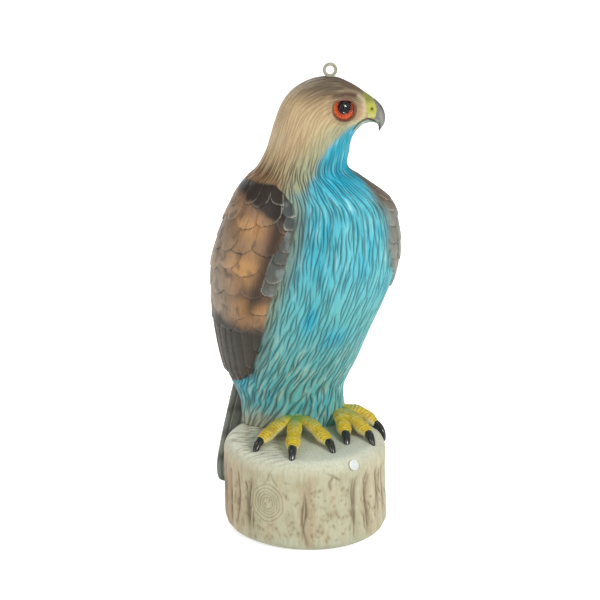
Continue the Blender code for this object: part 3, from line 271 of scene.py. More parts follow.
def grid_mesh(
    name: str, points: Array, layers: dict[str, Array], closed: bool = False, outward: Vector | None = None,
) -> Mesh:
    """A sheet or tube over a grid of points.

    Args:
        name: name of the mesh.
        points: rows x columns x 3 positions; a closed tube repeats its first column at the end.
        layers: values for each point, as rows x columns or rows x columns x 3 arrays.
        closed: whether the columns join into a tube, whose ends are then filled.
        outward: a way that most faces of an open sheet look towards.

    Returns:
        The mesh, facing out.
    """
    rows, columns = points.shape[:2]
    shape = bmesh.new()
    bmesh.ops.create_grid(shape, x_segments=columns - 1, y_segments=rows - 1, size=1)
    mesh = bpy.data.meshes.new(name)
    shape.to_mesh(mesh)
    shape.free()
    flat = vertex_values(mesh, "co")
    column = np.rint((flat[:, 0] + 1) * 0.5 * (columns - 1)).astype(int)
    row = np.rint((flat[:, 1] + 1) * 0.5 * (rows - 1)).astype(int)
    mesh.vertices.foreach_set("co", points[row, column].ravel())
    for layer_name, values in layers.items():
        add_layer(mesh, layer_name, values[row, column])
    shape = bmesh.new()
    shape.from_mesh(mesh)
    if closed:
        bmesh.ops.remove_doubles(shape, verts=shape.verts, dist=0.0005 * MM)
        open_edges = [edge for edge in shape.edges if edge.is_boundary]
        if open_edges:
            bmesh.ops.holes_fill(shape, edges=open_edges, sides=0)
        bmesh.ops.recalc_face_normals(shape, faces=shape.faces)
    shape.normal_update()
    if outward is not None:
        total = sum((face.normal * face.calc_area() for face in shape.faces), Vector())
        if total.dot(outward) < 0:
            bmesh.ops.reverse_faces(shape, faces=shape.faces)
    shape.to_mesh(mesh)
    shape.free()
    return mesh


def lathe(name: str, profile: Line, place: Matrix, steps: int = 64) -> Mesh:
    """Spin a profile of radius and height round Z, and set it in place."""
    shape = bmesh.new()
    points = [shape.verts.new((radius, 0, height)) for radius, height in profile]
    edges = [shape.edges.new(pair) for pair in zip(points, points[1:])]
    bmesh.ops.spin(
        shape, geom=points + edges, cent=(0, 0, 0), axis=(0, 0, 1), angle=TURN, steps=steps, use_merge=True,
    )
    bmesh.ops.remove_doubles(shape, verts=shape.verts, dist=0.002 * MM)
    bmesh.ops.recalc_face_normals(shape, faces=shape.faces)
    bmesh.ops.transform(shape, matrix=place, verts=shape.verts)
    mesh = bpy.data.meshes.new(name)
    shape.to_mesh(mesh)
    shape.free()
    return mesh


# The bird's form

@dataclass(frozen=True)
class BirdForm:
    """The bird's smooth outside, on the same sections as its solids, in metres.

    Trunk rows: left x, right x (of half width), height (of bird height), seam, front, rear (of half depth).
    Head rows: crown x, crown height, throat x, throat height, half depth, in the same shares.
    """

    height: float = 324 * MM
    half_width: float = 84 * MM
    half_depth: float = 52 * MM
    foot: float = 84 * MM
    seat_gap: float = 0.3 * MM
    facing: float = math.radians(60)
    wing_radius: float = 66 * MM
    trunk: Rows = (
        (-0.73, 0.42, 0, 0.46, 0.4, 0.42), (-0.735, 0.43, 0.037, 0.48, 0.42, 0.52),
        (-0.76, 0.435, 0.08, 0.48, 0.48, 0.64), (-0.83, 0.45, 0.127, 0.44, 0.56, 0.75),
        (-0.92, 0.58, 0.204, 0.35, 0.73, 0.87), (-0.988, 0.745, 0.321, 0.15, 0.92, 0.96),
        (-1.005, 0.91, 0.426, 0.06, 1, 1), (-0.99, 1.005, 0.515, 0, 1, 1),
        (-0.895, 0.995, 0.599, 0, 0.95, 0.98), (-0.785, 0.915, 0.67, 0, 0.87, 0.93),
        (-0.655, 0.66, 0.725, 0, 0.74, 0.82), (-0.5, 0.45, 0.762, 0, 0.64, 0.68),
        (-0.4, 0.455, 0.809, 0, 0.56, 0.57),
    )
    head: Rows = (
        (-0.365, 0.838, 0.465, 0.829, 0.56), (-0.31, 0.885, 0.49, 0.848, 0.57),
        (-0.235, 0.934, 0.52, 0.86, 0.57), (-0.11, 0.972, 0.54, 0.866, 0.56),
        (0.085, 0.997, 0.56, 0.871, 0.53), (0.29, 1.001, 0.575, 0.874, 0.46),
        (0.465, 0.984, 0.592, 0.878, 0.36), (0.6, 0.962, 0.61, 0.879, 0.25),
        (0.672, 0.949, 0.64, 0.881, 0.19), (0.735, 0.936, 0.676, 0.882, 0.155),
        (0.786, 0.92, 0.705, 0.881, 0.125), (0.812, 0.898, 0.728, 0.878, 0.09),
        (0.804, 0.879, 0.744, 0.871, 0.06), (0.76, 0.861, 0.75, 0.858, 0.02),
    )
    left_edge: Line = (
        (0.135, 0.62), (0.15, 0.46), (0.165, 0.4), (0.185, 0.355), (0.219, 0.332), (0.294, 0.294),
        (0.352, 0.282), (0.4, 0.28), (0.436, 0.267), (0.495, 0.245), (0.555, 0.23), (0.613, 0.224),
        (0.646, 0.224), (0.689, 0.237), (0.72, 0.28), (0.76, 0.4),
    )
    right_edge: Line = (
        (0.135, 0.62), (0.17, 0.46), (0.24, 0.39), (0.33, 0.36), (0.41, 0.335), (0.461, 0.29), (0.506, 0.2),
        (0.564, 0.172), (0.632, 0.185), (0.68, 0.215), (0.72, 0.28), (0.76, 0.4),
    )

    def rows(self) -> Array:
        """All sections as left x, left z, right x, right z, seam, front depth, rear depth."""
        rows = []
        base = self.foot + self.seat_gap
        for left, right, share, seam, front, rear in self.trunk:
            level = base + share * (self.height - self.seat_gap)
            rows.append((left * self.half_width, level, right * self.half_width, level,
                         seam * self.half_depth, front * self.half_depth, rear * self.half_depth))
        for crown, crown_share, throat, throat_share, half in self.head:
            rows.append((crown * self.half_width, self.foot + crown_share * self.height,
                         throat * self.half_width, self.foot + throat_share * self.height,
                         0, half * self.half_depth, half * self.half_depth))
        return np.array(rows)

    def sections(self, places: Array) -> Array:
        """Sections read along one smooth curve; a place runs from 0 to the last row."""
        return between(self.rows(), places)

    def lengths(self) -> tuple[Array, Array]:
        """Fine places from the first section to the last, and how far the skin runs up to each."""
        fine = np.linspace(0, len(self.rows()) - 1, 1400)
        sections = self.sections(fine)
        steps = np.zeros(len(fine) - 1)
        for angle in (0, 0.5 * math.pi, math.pi):
            line = self.points(sections, np.array([angle]), 0)[:, 0]
            steps = np.maximum(steps, np.linalg.norm(np.diff(line, axis=0), axis=1))
        return fine, running(steps)

    def places(self, start: float, end: float, count: int) -> Array:
        """Places of rings that lie evenly along the skin, from one section to another."""
        fine, total = self.lengths()
        low, high = np.interp([start, end], fine, total)
        return np.interp(np.linspace(low, high, count), total, fine)

    def points(self, sections: Array, angles: Array, depth: Array | float) -> Array:
        """Positions on sections, drawn in by a depth; an angle runs from the right over the front."""
        left_x, left_z, right_x, right_z, seam, front, rear = (sections[:, k, None] for k in range(7))
        across_x, across_z = 0.5 * (right_x - left_x), 0.5 * (right_z - left_z)
        half = np.hypot(across_x, across_z)
        full = np.where(np.sin(angles)[None] > 0, front, rear)
        wide = np.maximum(half - depth, 0.05 * half) * np.cos(angles)[None]
        deep = np.maximum(full - depth, 0.05 * full) * np.sin(angles)[None]
        return stack(
            0.5 * (left_x + right_x) + across_x / half * wide,
            seam - deep,
            0.5 * (left_z + right_z) + across_z / half * wide,
        )

    def edge(self, height: Array, side: Array | float) -> Array:
        """Turn of a wing's front edge from the breast's middle; the side is above 0 for the left wing."""
        share = (height - self.foot) / self.height
        left, right = table(self.left_edge, share), table(self.right_edge, share)
        return math.pi * np.where(np.asarray(side) > 0, left, right)


@dataclass(frozen=True)
class Feather:
    """One feather laid over a wing: place of its tip and size in metres, lean, tone and kind."""

    arc: float
    tip: float
    half_width: float
    length: float
    lean: float
    tone: float
    kind: Kind


class Plumage:
    """The lapped feathers of one wing, laid from the lowest row to the shoulder."""

    ROWS = (
        (304, 17, 27), (286, 18.5, 31), (266, 20, 33), (246, 20.5, 33), (226, 20.5, 34),
        (207, 21, 33), (192, 20, 31),
    )
    RISE = 1.55 * MM
    PRIMARY = 11 * MM

    def __init__(self, form: BirdForm, seed: int, side: float) -> None:
        self.form, self.side = form, side
        self.rng = np.random.default_rng(seed)

    def feathers(self) -> list[Feather]:
        """Every feather, lowest first, so that the upper ones lap over the lower ones."""
        rng = self.rng
        radius = self.form.wing_radius
        found = []
        for number in range(18, 3, -1):
            tip = (134 + 1.3 * max(0, number - 7) + (0, 16, 36, 56)[max(0, 7 - number)]) * MM
            found.append(Feather(
                (number + 0.5) * self.PRIMARY, tip, 7 * MM, 105 * MM, -0.06 * (number < 8),
                rng.uniform(-1, 1), Kind.PRIMARY,
            ))
        for row, (tip, width, length) in reversed(list(enumerate(self.ROWS))):
            start = float(self.form.edge(np.array(tip * MM), self.side)) * radius - 2 * MM
            count = int((math.pi * radius - start) / (width * MM)) + 2
            for number in range(count):
                shift = (0.5 if row % 2 else 0) + rng.uniform(-0.2, 0.2)
                found.append(Feather(
                    start + (number + shift) * width * MM,
                    (tip + rng.uniform(-3.6, 3.6)) * MM,
                    0.62 * width * MM * rng.uniform(0.88, 1.16),
                    length * MM, rng.uniform(-0.14, 0.06), rng.uniform(-1, 1), Kind.COVERT,
                ))
        for number in range(6):
            tip = (233 + 13.6 * number + rng.uniform(-2.5, 2.5)) * MM
            start = float(self.form.edge(np.array(tip), self.side)) * radius
            found.append(Feather(
                start + rng.uniform(3, 6) * MM, tip - 4 * MM, rng.uniform(7.4, 9.6) * MM, 25 * MM,
                rng.uniform(0.1, 0.4), rng.uniform(-1, 1), Kind.SCALLOP,
            ))
        return found

    def lay_out(self, arc: Array, height: Array) -> dict[str, Array]:
        """What shows of the feathers at each point.

        Args:
            arc: place round the body, as a length from the breast's middle.
            height: height of each point.

        Returns:
            Depth, rim, quill, tone, kind, length share, cover and the shade under the tips.
        """
        names = ("rim", "quill", "tone", "kind", "shade", "length", "cover")
        found = {name: np.zeros(arc.shape) for name in names}
        found["depth"] = np.full(arc.shape, 1.6 * self.RISE)
        for feather in self.feathers():
            up = height - feather.tip
            across = (arc - feather.arc + feather.lean * up) / feather.half_width
            inside = np.sqrt(np.clip(1 - across * across, 0, 1))
            past_tip = up - (1 - inside) * 0.95 * feather.half_width
            mask = (np.abs(across) < 1) & (past_tip > 0) & (up < feather.length)
            margin = np.minimum(past_tip, 1.6 * (1 - np.abs(across)) * feather.half_width)
            share = up / feather.length
            under = (np.abs(across) < 1.04) & (past_tip <= 0) & (past_tip > -4 * MM)
            deeper = np.maximum(found["shade"], bell(past_tip, 0.9 * MM))
            found["shade"] = np.where(under, deeper, found["shade"])
            raised = self.RISE * (1.05 * share + 0.4 * across * across)
            shown = {
                "depth": raised + 0.45 * MM * bell(margin, 0.9 * MM),
                "rim": bell(margin - 0.5 * MM, 0.75 * MM),
                "quill": bell(across * feather.half_width, 0.5 * MM) * smooth(0, 0.15, share),
                "tone": feather.tone, "kind": feather.kind.value, "shade": 0, "length": share, "cover": 1,
            }
            for name, value in shown.items():
                found[name] = np.where(mask, value, found[name])
        return found


@dataclass(frozen=True)
class Stroke:
    """One groove combed into the breast, neck or head."""

    along: float
    turn: float
    length: float
    width: float
    lean: float
    sway: float
    phase: float


class Combing:
    """Long tapered grooves, laid in staggered lanes from the legs to the beak."""

    def __init__(self, form: BirdForm, seed: int) -> None:
        self.form = form
        self.fine, self.total = form.lengths()
        self.rng = np.random.default_rng(seed)
        self.strokes = self.lay_strokes()

    def shear(self, height: Array, angles: Array) -> Array:
        """How far the combing turns to the left below the breast, as an angle."""
        fall = np.clip(238 * MM - height, 0, 110 * MM)
        lower = np.clip(128 * MM - height, 0, None)
        side = 0.26 + 0.34 * smooth(0.8, 2.6, angles) * smooth(-0.1, 0.4, angles)
        return side * (fall * fall / (220 * MM) + lower) / (62 * MM)

    def lay_strokes(self) -> list[Stroke]:
        """All grooves, from below upwards."""
        rng, found = self.rng, []
        along = 0
        while along < self.total[-1] - 4 * MM:
            section = self.form.sections(np.array([np.interp(along, self.total, self.fine)]))[0]
            half = 0.5 * math.hypot(section[2] - section[0], section[3] - section[1])
            deep = 0.5 * (section[5] + section[6])
            level = 0.5 * (section[1] + section[3])
            neck = float(smooth(285 * MM, 335 * MM, np.array(level)))
            leg = float(smooth(165 * MM, 120 * MM, np.array(level)))
            gap = (3.5 - 1.15 * neck + 0.7 * leg) * MM
            length = (35 + 4 * neck - 9 * leg) * MM
            width = (0.66 - 0.12 * neck + 0.22 * leg) * MM
            fine = np.linspace(-math.pi, math.pi, 900)
            speed = np.hypot(half * np.sin(fine), deep * np.cos(fine))
            arc = running(0.5 * (speed[1:] + speed[:-1]) * (fine[1] - fine[0]))
            count = max(8, int(arc[-1] / gap))
            shift = rng.uniform(0, 1)
            for number in range(count):
                place = (number + shift + rng.uniform(-0.26, 0.26)) % count / count * arc[-1]
                found.append(Stroke(
                    along + rng.uniform(-0.34, 0.34) * length, float(np.interp(place, arc, fine)),
                    length * rng.uniform(0.55, 1.3), width * rng.uniform(0.75, 1.25),
                    rng.normal(0, 0.05 + 0.03 * leg), rng.uniform(0.2, 1) * MM * (1 - 0.6 * neck),
                    rng.uniform(0, TURN),
                ))
            along += 0.66 * length
        return found


def press(strokes: Sequence[Stroke], along: Array, turn: Array, speed: Array) -> Array:
    """How deep grooves are at each point, from 0 to 1.

    Args:
        strokes: the grooves.
        along: length along the skin of each row of points.
        turn: angle of each point.
        speed: arc length for each unit of angle at each point.

    Returns:
        The grooves' depth shares, in the shape of the turns.
    """
    depth = np.zeros(turn.shape)
    for stroke in strokes:
        half = 0.5 * stroke.length
        rows = np.flatnonzero(np.abs(along - stroke.along) < half)
        if not len(rows):
            continue
        window = slice(rows[0], rows[-1] + 1)
        step = (along[window] - stroke.along)[:, None]
        bend = stroke.lean * step + stroke.sway * np.sin(math.pi * step / half + stroke.phase)
        away = wrap(turn[window] - stroke.turn) * speed[window] - bend
        share = np.abs(step) / half
        taper = np.sqrt(np.clip(1 - share * share, 0, 1))
        groove = taper * np.exp(-np.square(away / (stroke.width * (0.45 + 0.55 * taper))))
        depth[window] = np.maximum(depth[window], groove)
    return depth


@dataclass(frozen=True)
class EyePlace:
    """Where an eye lies: its middle on the head's surface, its axis, and ways forward and up in its plane."""

    middle: Array
    axis: Array
    forward: Array
    up: Array
    radius: float = 11 * MM
    sink: float = 1.2 * MM
    dome: float = 4.6 * MM

    @classmethod
    def of(cls, side: Half, root: Array) -> "EyePlace":
        """Read the place of an eye from its iris disc in the frame.

        Args:
            side: which half of the head.
            root: how far the frame's origin lies from the parting surface's.

        Returns:
            The eye's place, measured from the parting surface.
        """
        toe_in, upturn = math.radians(22), math.radians(4)
        level = math.cos(upturn)
        axis = np.array([math.sin(toe_in) * level, -side.value * math.cos(toe_in) * level, math.sin(upturn)])
        low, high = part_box("right_eye_iris" if side is Half.FRONT else "left_eye_iris")
        disc_depth = 2 * MM
        middle = 0.5 * (np.array(low) + np.array(high)) - root + axis * disc_depth
        forward = unit(np.array([1, 0, 0]) - axis * axis[0])
        up = np.cross(axis, forward) * side.value * -1
        up = up if up[2] > 0 else -up
        return cls(middle, axis, forward, up)

    def matrix(self) -> Matrix:
        """The turn and place of a piece made round Z."""
        side = np.cross(self.axis, self.forward)
        columns = np.column_stack([self.forward, side, self.axis, self.middle])
        return Matrix([*columns.tolist(), [0, 0, 0, 1]])

    def local(self, points: Array) -> tuple[Array, Array, Array]:
        """How far forward, up and out of the head points lie from the eye's middle."""
        offset = points - self.middle
        return offset @ self.forward, offset @ self.up, offset @ self.axis

    def outline(self, turn: Array) -> tuple[Array, Array]:
        """The almond of the lids; a turn of 0 is the corner towards the beak."""
        wide = 10.6 * MM
        cosine, sine = np.cos(turn), np.sin(turn)
        high = np.where(sine > 0, 8.9 * MM * np.maximum(np.abs(sine), 1e-6) ** -0.18, 9.2 * MM)
        drop = 0.9 * MM * cosine + 0.5 * MM
        return wide * np.sign(cosine) * np.abs(cosine) ** 0.92, high * sine - drop * 0.5

    def spread(self, forward: Array, up: Array) -> Array:
        """1 on the almond of the lids, less inside and more outside."""
        turn = np.arctan2(up + 0.5 * MM, forward)
        wide, high = self.outline(turn)
        return np.hypot(forward, up + 0.4 * MM) / np.maximum(np.hypot(wide, high + 0.4 * MM), 1e-6)

    def dome_height(self, reach: Array) -> Array:
        """Height of the clear dome at a distance from its middle."""
        ball = (self.radius ** 2 + self.dome ** 2) / (2 * self.dome)
        return self.dome - self.sink - ball + np.sqrt(np.maximum(ball * ball - reach * reach, 0))


# Lines and spots of the paint, as millimetres to the right and up

BIB_EDGE = (
    (100, 377), (62, 374), (46, 372.8), (38.7, 370), (32.9, 365.5), (24.7, 357.9), (17.3, 349.5),
    (10.7, 339.4), (4.9, 328.3), (-0.9, 317.2), (-5.1, 306.9), (-7.7, 296.5), (-11.9, 276.4), (-18, 252.6),
    (-25.8, 227.5), (-32.9, 202.1), (-40.9, 177.2), (-50, 152), (-57.3, 130.2),
)
MOUTH = ((41.4, 367), (43.5, 369.8), (47.7, 372.9), (53.2, 374.1), (58.2, 372), (60.4, 369.8))
CERE_BACK = ((49.3, 394.1), (51, 389.1), (52, 382.4), (53, 374.8))
CERE_FRONT = ((57.6, 391), (58.8, 387.6), (60.6, 381.7), (59, 374))
HORN_BACK = ((57, 388), (62, 384), (66, 378), (68.5, 370))
LORE = ((45, 394), (49.4, 390), (50.6, 383), (49, 376.5), (43, 372.5), (37, 371))
BROW = ((19.8, 389.4), (24.7, 394.3), (33, 396.4), (42.1, 394.3), (48, 390.2))
NOSTRIL = (56.3, 382.4)
WING_LEDGE = ((-70, 322), (-60, 316), (-37, 299), (-28, 295), (-10, 286))
WING_TANS = ((-46.6, 285.2, 17, 12), (-51.3, 249.9, 19, 17), (-47.2, 213.9, 19, 15))
BLUE_DABS = (
    (4.3, 205.5, 6.5, 15, 1), (25.9, 185.4, 14, 12, 0.8), (-56.8, 134.3, 9, 17, 1),
    (52, 262, 9, 22, 0.7), (8, 290, 22, 9, 0.7), (-2, 262, 10, 12, 0.35),
    (-36, 118, 14, 12, 0.5), (14, 112, 12, 10, 0.5),
)


class BirdSkin:
    """The outside of one half of the trunk or the head, with its feathers, face and paint."""

    BACK_OFF = 0.15 * MM
    STEP = 3 * MM
    STEP_FADE = 18 * MM

    def __init__(self, form: BirdForm, half: Half, eye: EyePlace, part: Part, combing: Combing) -> None:
        self.form, self.half, self.eye, self.part, self.combing = form, half, eye, part, combing
        start, end, rows, self.columns = part.value
        self.sections = form.sections(form.places(start, end, rows))
        self.angles = half.value * self.even_angles()
        plain = form.points(self.sections, self.angles, 0)
        self.x, self.y, self.z = plain[..., 0], plain[..., 1], plain[..., 2]
        self.along = np.interp(form.places(start, end, rows), *form.lengths())
        self.turn = wrap((self.angles - form.facing)[None] + 0 * self.x)
        self.past = (np.abs(self.turn) - form.edge(self.z, self.turn)) * form.wing_radius
        self.wing = smooth(-1 * MM, 1.2 * MM, self.past) * smooth(324 * MM, 321 * MM, self.z)
        self.feathers = self.lay_feathers()
        self.lapped = self.wing * self.feathers["cover"]
        self.head = smooth(330 * MM, 352 * MM, self.z)
        self.grooves, self.flow = self.comb()

    def even_angles(self) -> Array:
        """Angles that lie evenly along the widest section, from one edge to the other."""
        fine = np.linspace(0, math.pi, 2000)
        speed = np.hypot(self.form.half_width * np.sin(fine), self.form.half_depth * np.cos(fine))
        total = running(0.5 * (speed[1:] + speed[:-1]))
        return np.interp(np.linspace(0, total[-1], self.columns), total, fine)

    def lay_feathers(self) -> dict[str, Array]:
        """The feathers of both wings over this half."""
        warp = Noise(77)
        turned = self.form.wing_radius * np.stack([np.cos(self.turn), np.sin(self.turn)]) / (15 * MM)
        arc = np.abs(self.turn) * self.form.wing_radius + 1.5 * MM * warp(*turned, self.z / (15 * MM))
        height = self.z + 1.6 * MM * warp(*turned, self.z / (15 * MM) + 40)
        left = Plumage(self.form, 11, 1).lay_out(arc, height)
        right = Plumage(self.form, 29, -1).lay_out(arc, height)
        on_left = self.turn > 0
        return {key: np.where(on_left, left[key], right[key]) for key in left}

    def comb(self) -> tuple[Array, Array]:
        """The long grooves of breast, neck and head, and the coordinates that they run along."""
        rows = self.sections
        half = 0.5 * np.hypot(rows[:, 2] - rows[:, 0], rows[:, 3] - rows[:, 1])
        deep = 0.5 * (rows[:, 5] + rows[:, 6])
        angles = self.angles[None]
        speed = np.hypot(half[:, None] * np.sin(angles), deep[:, None] * np.cos(angles))
        turn = angles - self.combing.shear(self.z, angles + 0 * self.z)
        grooves = press(self.combing.strokes, self.along, turn, speed)
        flow = stack(turn * 17, self.along[:, None] / (36 * MM), 0)
        return grooves, flow

    def depth(self) -> Array:
        """How far each point is drawn in from the smooth outside."""
        beside = (1 - self.wing) * smooth(322 * MM, 303 * MM, self.z)
        step = self.STEP * beside * np.exp(np.minimum(self.past, 0) / self.STEP_FADE)
        strength = (1.1 - 0.74 * self.head) * MM * self.bare_face()
        tufts = 0.5 + 0.5 * Noise(21)(self.flow[..., 0] * 0.3, self.flow[..., 1] * 1.3)
        soft = 0.45 * MM * (1 - self.head) * tufts
        rump = (self.wing - self.lapped) * 0.7 * strength * self.grooves
        combed = (1 - self.wing) * (strength * self.grooves + soft)
        return self.wing * self.feathers["depth"] + rump + combed + step

    def bare_face(self) -> Array:
        """Nothing on the cere and beak, one where feathers grow."""
        x, z = self.x / MM, self.z / MM
        return 1 - smooth(354, 364, z) * smooth(43, 49, x)

    def face(self, points: Array) -> Array:
        """Carve brow, socket, lids, mouth, nostril and the cere's edge.

        Args:
            points: places of the skin before.

        Returns:
            The places, moved sideways or along the eye's axis.
        """
        x, z = self.x / MM, self.z / MM
        out = np.sign(points[..., 1]) * np.abs(np.sin(self.angles))[None]
        ex, ez = self.eye.middle[0] / MM, self.eye.middle[2] / MM
        ahead, above = (x - ex) / 22, (z - ez) / 22
        swell = 2.2 * bell((above - 0.6 + 0.3 * ahead) / 0.2) * bell(ahead / 0.7)
        hollow = 1.2 * bell(np.hypot(ahead, above) / 0.75)
        fold = 1.3 * bell(line_distance(x, z, BROW, 2.2), 0.95)
        mouth = 1.2 * bell(line_distance(x, z, MOUTH), 0.75)
        lip = 0.5 * bell(line_distance(x, z, MOUTH, 1.7), 1.2)
        nostril = 1.3 * bell(np.hypot(x - NOSTRIL[0], 0.8 * (z - NOSTRIL[1])), 1.1)
        cere = 0.5 * smooth(0.5, -0.5, x - at_height(CERE_FRONT, z)) * self.on_cere()
        shift = (swell - hollow - fold - mouth + lip - nostril + cere) * MM
        points = points + stack(0, out * shift, 0)
        forward, up, high = self.eye.local(points)
        near = (np.hypot(forward, up) < 20 * MM) & (np.abs(high) < 14 * MM)
        spread = self.eye.spread(forward, up)
        lid = self.eye.dome_height(np.minimum(np.hypot(forward, up), self.eye.radius)) + 0.9 * MM
        raised = np.maximum(high, high + (lid - high) * smooth(1.42, 1.04, spread))
        sunk = raised + (-5.6 * MM - raised) * smooth(1, 0.84, spread)
        moved = np.where(near, sunk - high, 0)
        return points + moved[..., None] * self.eye.axis

    def on_cere(self) -> Array:
        """One on the cere."""
        x, z = self.x / MM, self.z / MM
        past_back = smooth(-0.6, 0.6, x - at_height(CERE_BACK, z))
        return past_back * smooth(0.6, -0.6, x - at_height(CERE_FRONT, z)) * smooth(374.2, 375.4, z)

    def shape(self) -> Array:
        """Positions of the finished skin, with a rim turned in along the parting line."""
        depth = self.depth()
        groove = np.zeros(self.columns)
        groove[[0, -1]] = 0.4 * MM
        groove[[1, -2]] = 0.12 * MM
        if self.part is Part.HEAD:
            depth[:2] += np.array([0.1, 0.03])[:, None] * MM
        points = self.form.points(self.sections, self.angles, depth + groove[None])
        points = self.face(points)
        points[..., 1] -= self.half.value * self.BACK_OFF
        inner = self.form.points(self.sections, self.angles[[0, -1]], 3 * MM)
        inner[..., 1] -= self.half.value * self.BACK_OFF
        points = np.concatenate([inner[:, :1], points, inner[:, 1:]], axis=1)
        tip = points[-1:].copy()
        if self.part is Part.HEAD:
            tip[..., 1] = -self.half.value * self.BACK_OFF
        return np.concatenate([points, tip], axis=0)

    def paint(self) -> Array:
        """Colour of each point, as airbrushed zones, with painted light and shade among them."""
        x, y, z = self.x / MM, self.y / MM, self.z / MM
        noise, flow = Noise(3), self.flow
        cloud = noise.layers(x / 26, z / 30, y / 26, 3)
        fine = noise.layers(x / 9, z / 12, y / 9, 2)
        streak = Noise(9)(flow[..., 0] * 1.1, flow[..., 1] * 1.4)
        streak = streak + 0.5 * Noise(14)(flow[..., 0] * 2.4, flow[..., 1] * 2.2)
        bib = x - at_height(BIB_EDGE, z) + 1.6 * fine + 1.2 * streak
        bib = bib - 30 * smooth(44, 48, x) * smooth(356, 362, z)
        base = airbrush(
            ground(x, 176, 148, 112),
            crown=((114, 90, 64), 0.92 * smooth(374, 397, z + 0.36 * (8 - x) + 3 * cloud)),
            cap=((82, 68, 52), 0.9 * smooth(391, 404, z + 0.1 * np.abs(x - 14) + 2 * cloud)),
            forehead=((92, 84, 66), 0.75 * smooth(30, 44, x) * smooth(384, 396, z + 0.3 * (x - 40))),
            # pale nape paint, with a painted highlight along the left edge of the head and neck
            nape=((212, 192, 156), 0.65 * bell((x + 30) / 16) * smooth(335, 362, z)),
            temple=((208, 180, 138), 0.75 * bell((x + 8) / 20) * bell((z - 380) / 15)),
            cheek=((200, 180, 138), 0.7 * bell((x - 14) / 18) * bell((z - 368) / 16)),
            neck=((156, 139, 103), 0.75 * smooth(352, 330, z + 3 * cloud)),
            # pale streaks along the neck's combing: painted highlights on its raised strands
            ridges=((204, 196, 158), 0.3 * smooth(0.15, 0.8, streak) * smooth(322, 345, z)),
            neck_foot=((116, 82, 56), 0.8 * smooth(334, 318, z + 0.3 * (x + 12) + 3 * cloud)),
            bib_edge=((160, 166, 132), 0.75 * bell((bib + 8) / 12) * smooth(392, 362, z)),
        )
        blue = self.blue_paint(x, z, cloud, fine, streak)
        base = lay(base, blue, smooth(-5, 5, bib))
        low = smooth(322, 312, z) * smooth(-6 * MM, -1 * MM, -self.past)
        base = lay(base, blue, low * smooth(-16, -2, bib))
        base = lay(base, blue, smooth(285, 255, z))
        band = bell((bib + 5) / 10) * smooth(176, 215, z) * smooth(352, 330, z)
        past, far = self.past / MM, smooth(0, -0.3, self.turn)
        crest = smooth(-26, -6, past) * far * smooth(284, 308, z)
        base = airbrush(
            base,
            band=((140, 148, 120), 0.62 * band),
            band_lines=((84, 94, 82), 0.45 * band * smooth(0.1, 0.6, -streak)),
            # darker band beside the right wing's raised edge: painted shade
            far_edge=((104, 110, 102), 0.65 * bell((past + 2) / 5) * far * smooth(225, 262, z)),
            crest=((108, 92, 74), 0.85 * crest * smooth(338, 322, z - 6 * fine)),
        )
        base = lay(base, self.wing_paint(x, z, cloud, fine), self.wing)
        sand = smooth(108, 90, z + 5 * fine + 4 * streak) * smooth(0, -34, x)
        base = self.face_paint(lay(base, srgb(164, 158, 134), 0.85 * sand), x, z)
        # the combed grooves are painted darker: partly the airbrushed wash and partly painted shade in the
        # grooves
        dark = self.grooves * (1 - self.lapped) * self.bare_face()
        return base * (1 - dark * (0.72 - 0.44 * self.head))[..., None]

    def blue_paint(self, x: Array, z: Array, cloud: Array, fine: Array, streak: Array) -> Array:
        """Turquoise of the throat, breast and legs, with brighter dabs, pale combed streaks painted as
        highlights, painted light on the lit side and painted shade beside the left wing.
        """
        throat = smooth(296, 330, z + 4 * fine) * (1 - 0.5 * smooth(352, 368, z))
        blue = airbrush(
            ground(x, 80, 174, 188),
            lit_side=((112, 196, 204), 0.6 * smooth(16, 44, x) * smooth(306, 290, z)),
            throat=((20, 162, 192), throat),
            clouds=((40, 152, 172), 0.6 * smooth(0, 0.7, -cloud + 0.3 * fine)),
            belly=((100, 176, 174), 0.75 * smooth(258, 205, z + 8 * cloud + 0.2 * x)),
        )
        for px, pz, wide, tall, share in BLUE_DABS:
            lean = x - px - 0.25 * (z - pz)
            blue = lay(blue, srgb(0, 162, 192), share * 0.85 * bell(np.hypot(lean / wide, (z - pz) / tall)))
        # darker band beside the left wing's raised edge: painted shade
        beside = bell((self.past / MM + 2) / 8) * smooth(0, 0.2, self.turn) * smooth(325, 300, z)
        return airbrush(
            blue,
            # pale streaks along the combing: painted highlights on its raised strands
            ridges=((150, 208, 210), 0.55 * smooth(0.05, 0.8, streak) * smooth(200, 260, z)),
            pale_belly=((158, 190, 176), 0.8 * smooth(-0.15, 0.6, streak) * smooth(214, 140, z + 0.35 * x)),
            legs=((118, 158, 142), 0.35 * smooth(0.1, 0.7, -streak) * smooth(200, 130, z + 0.3 * x)),
            beside_wing=((92, 116, 108), 0.75 * beside * smooth(118, 150, z)),
        )

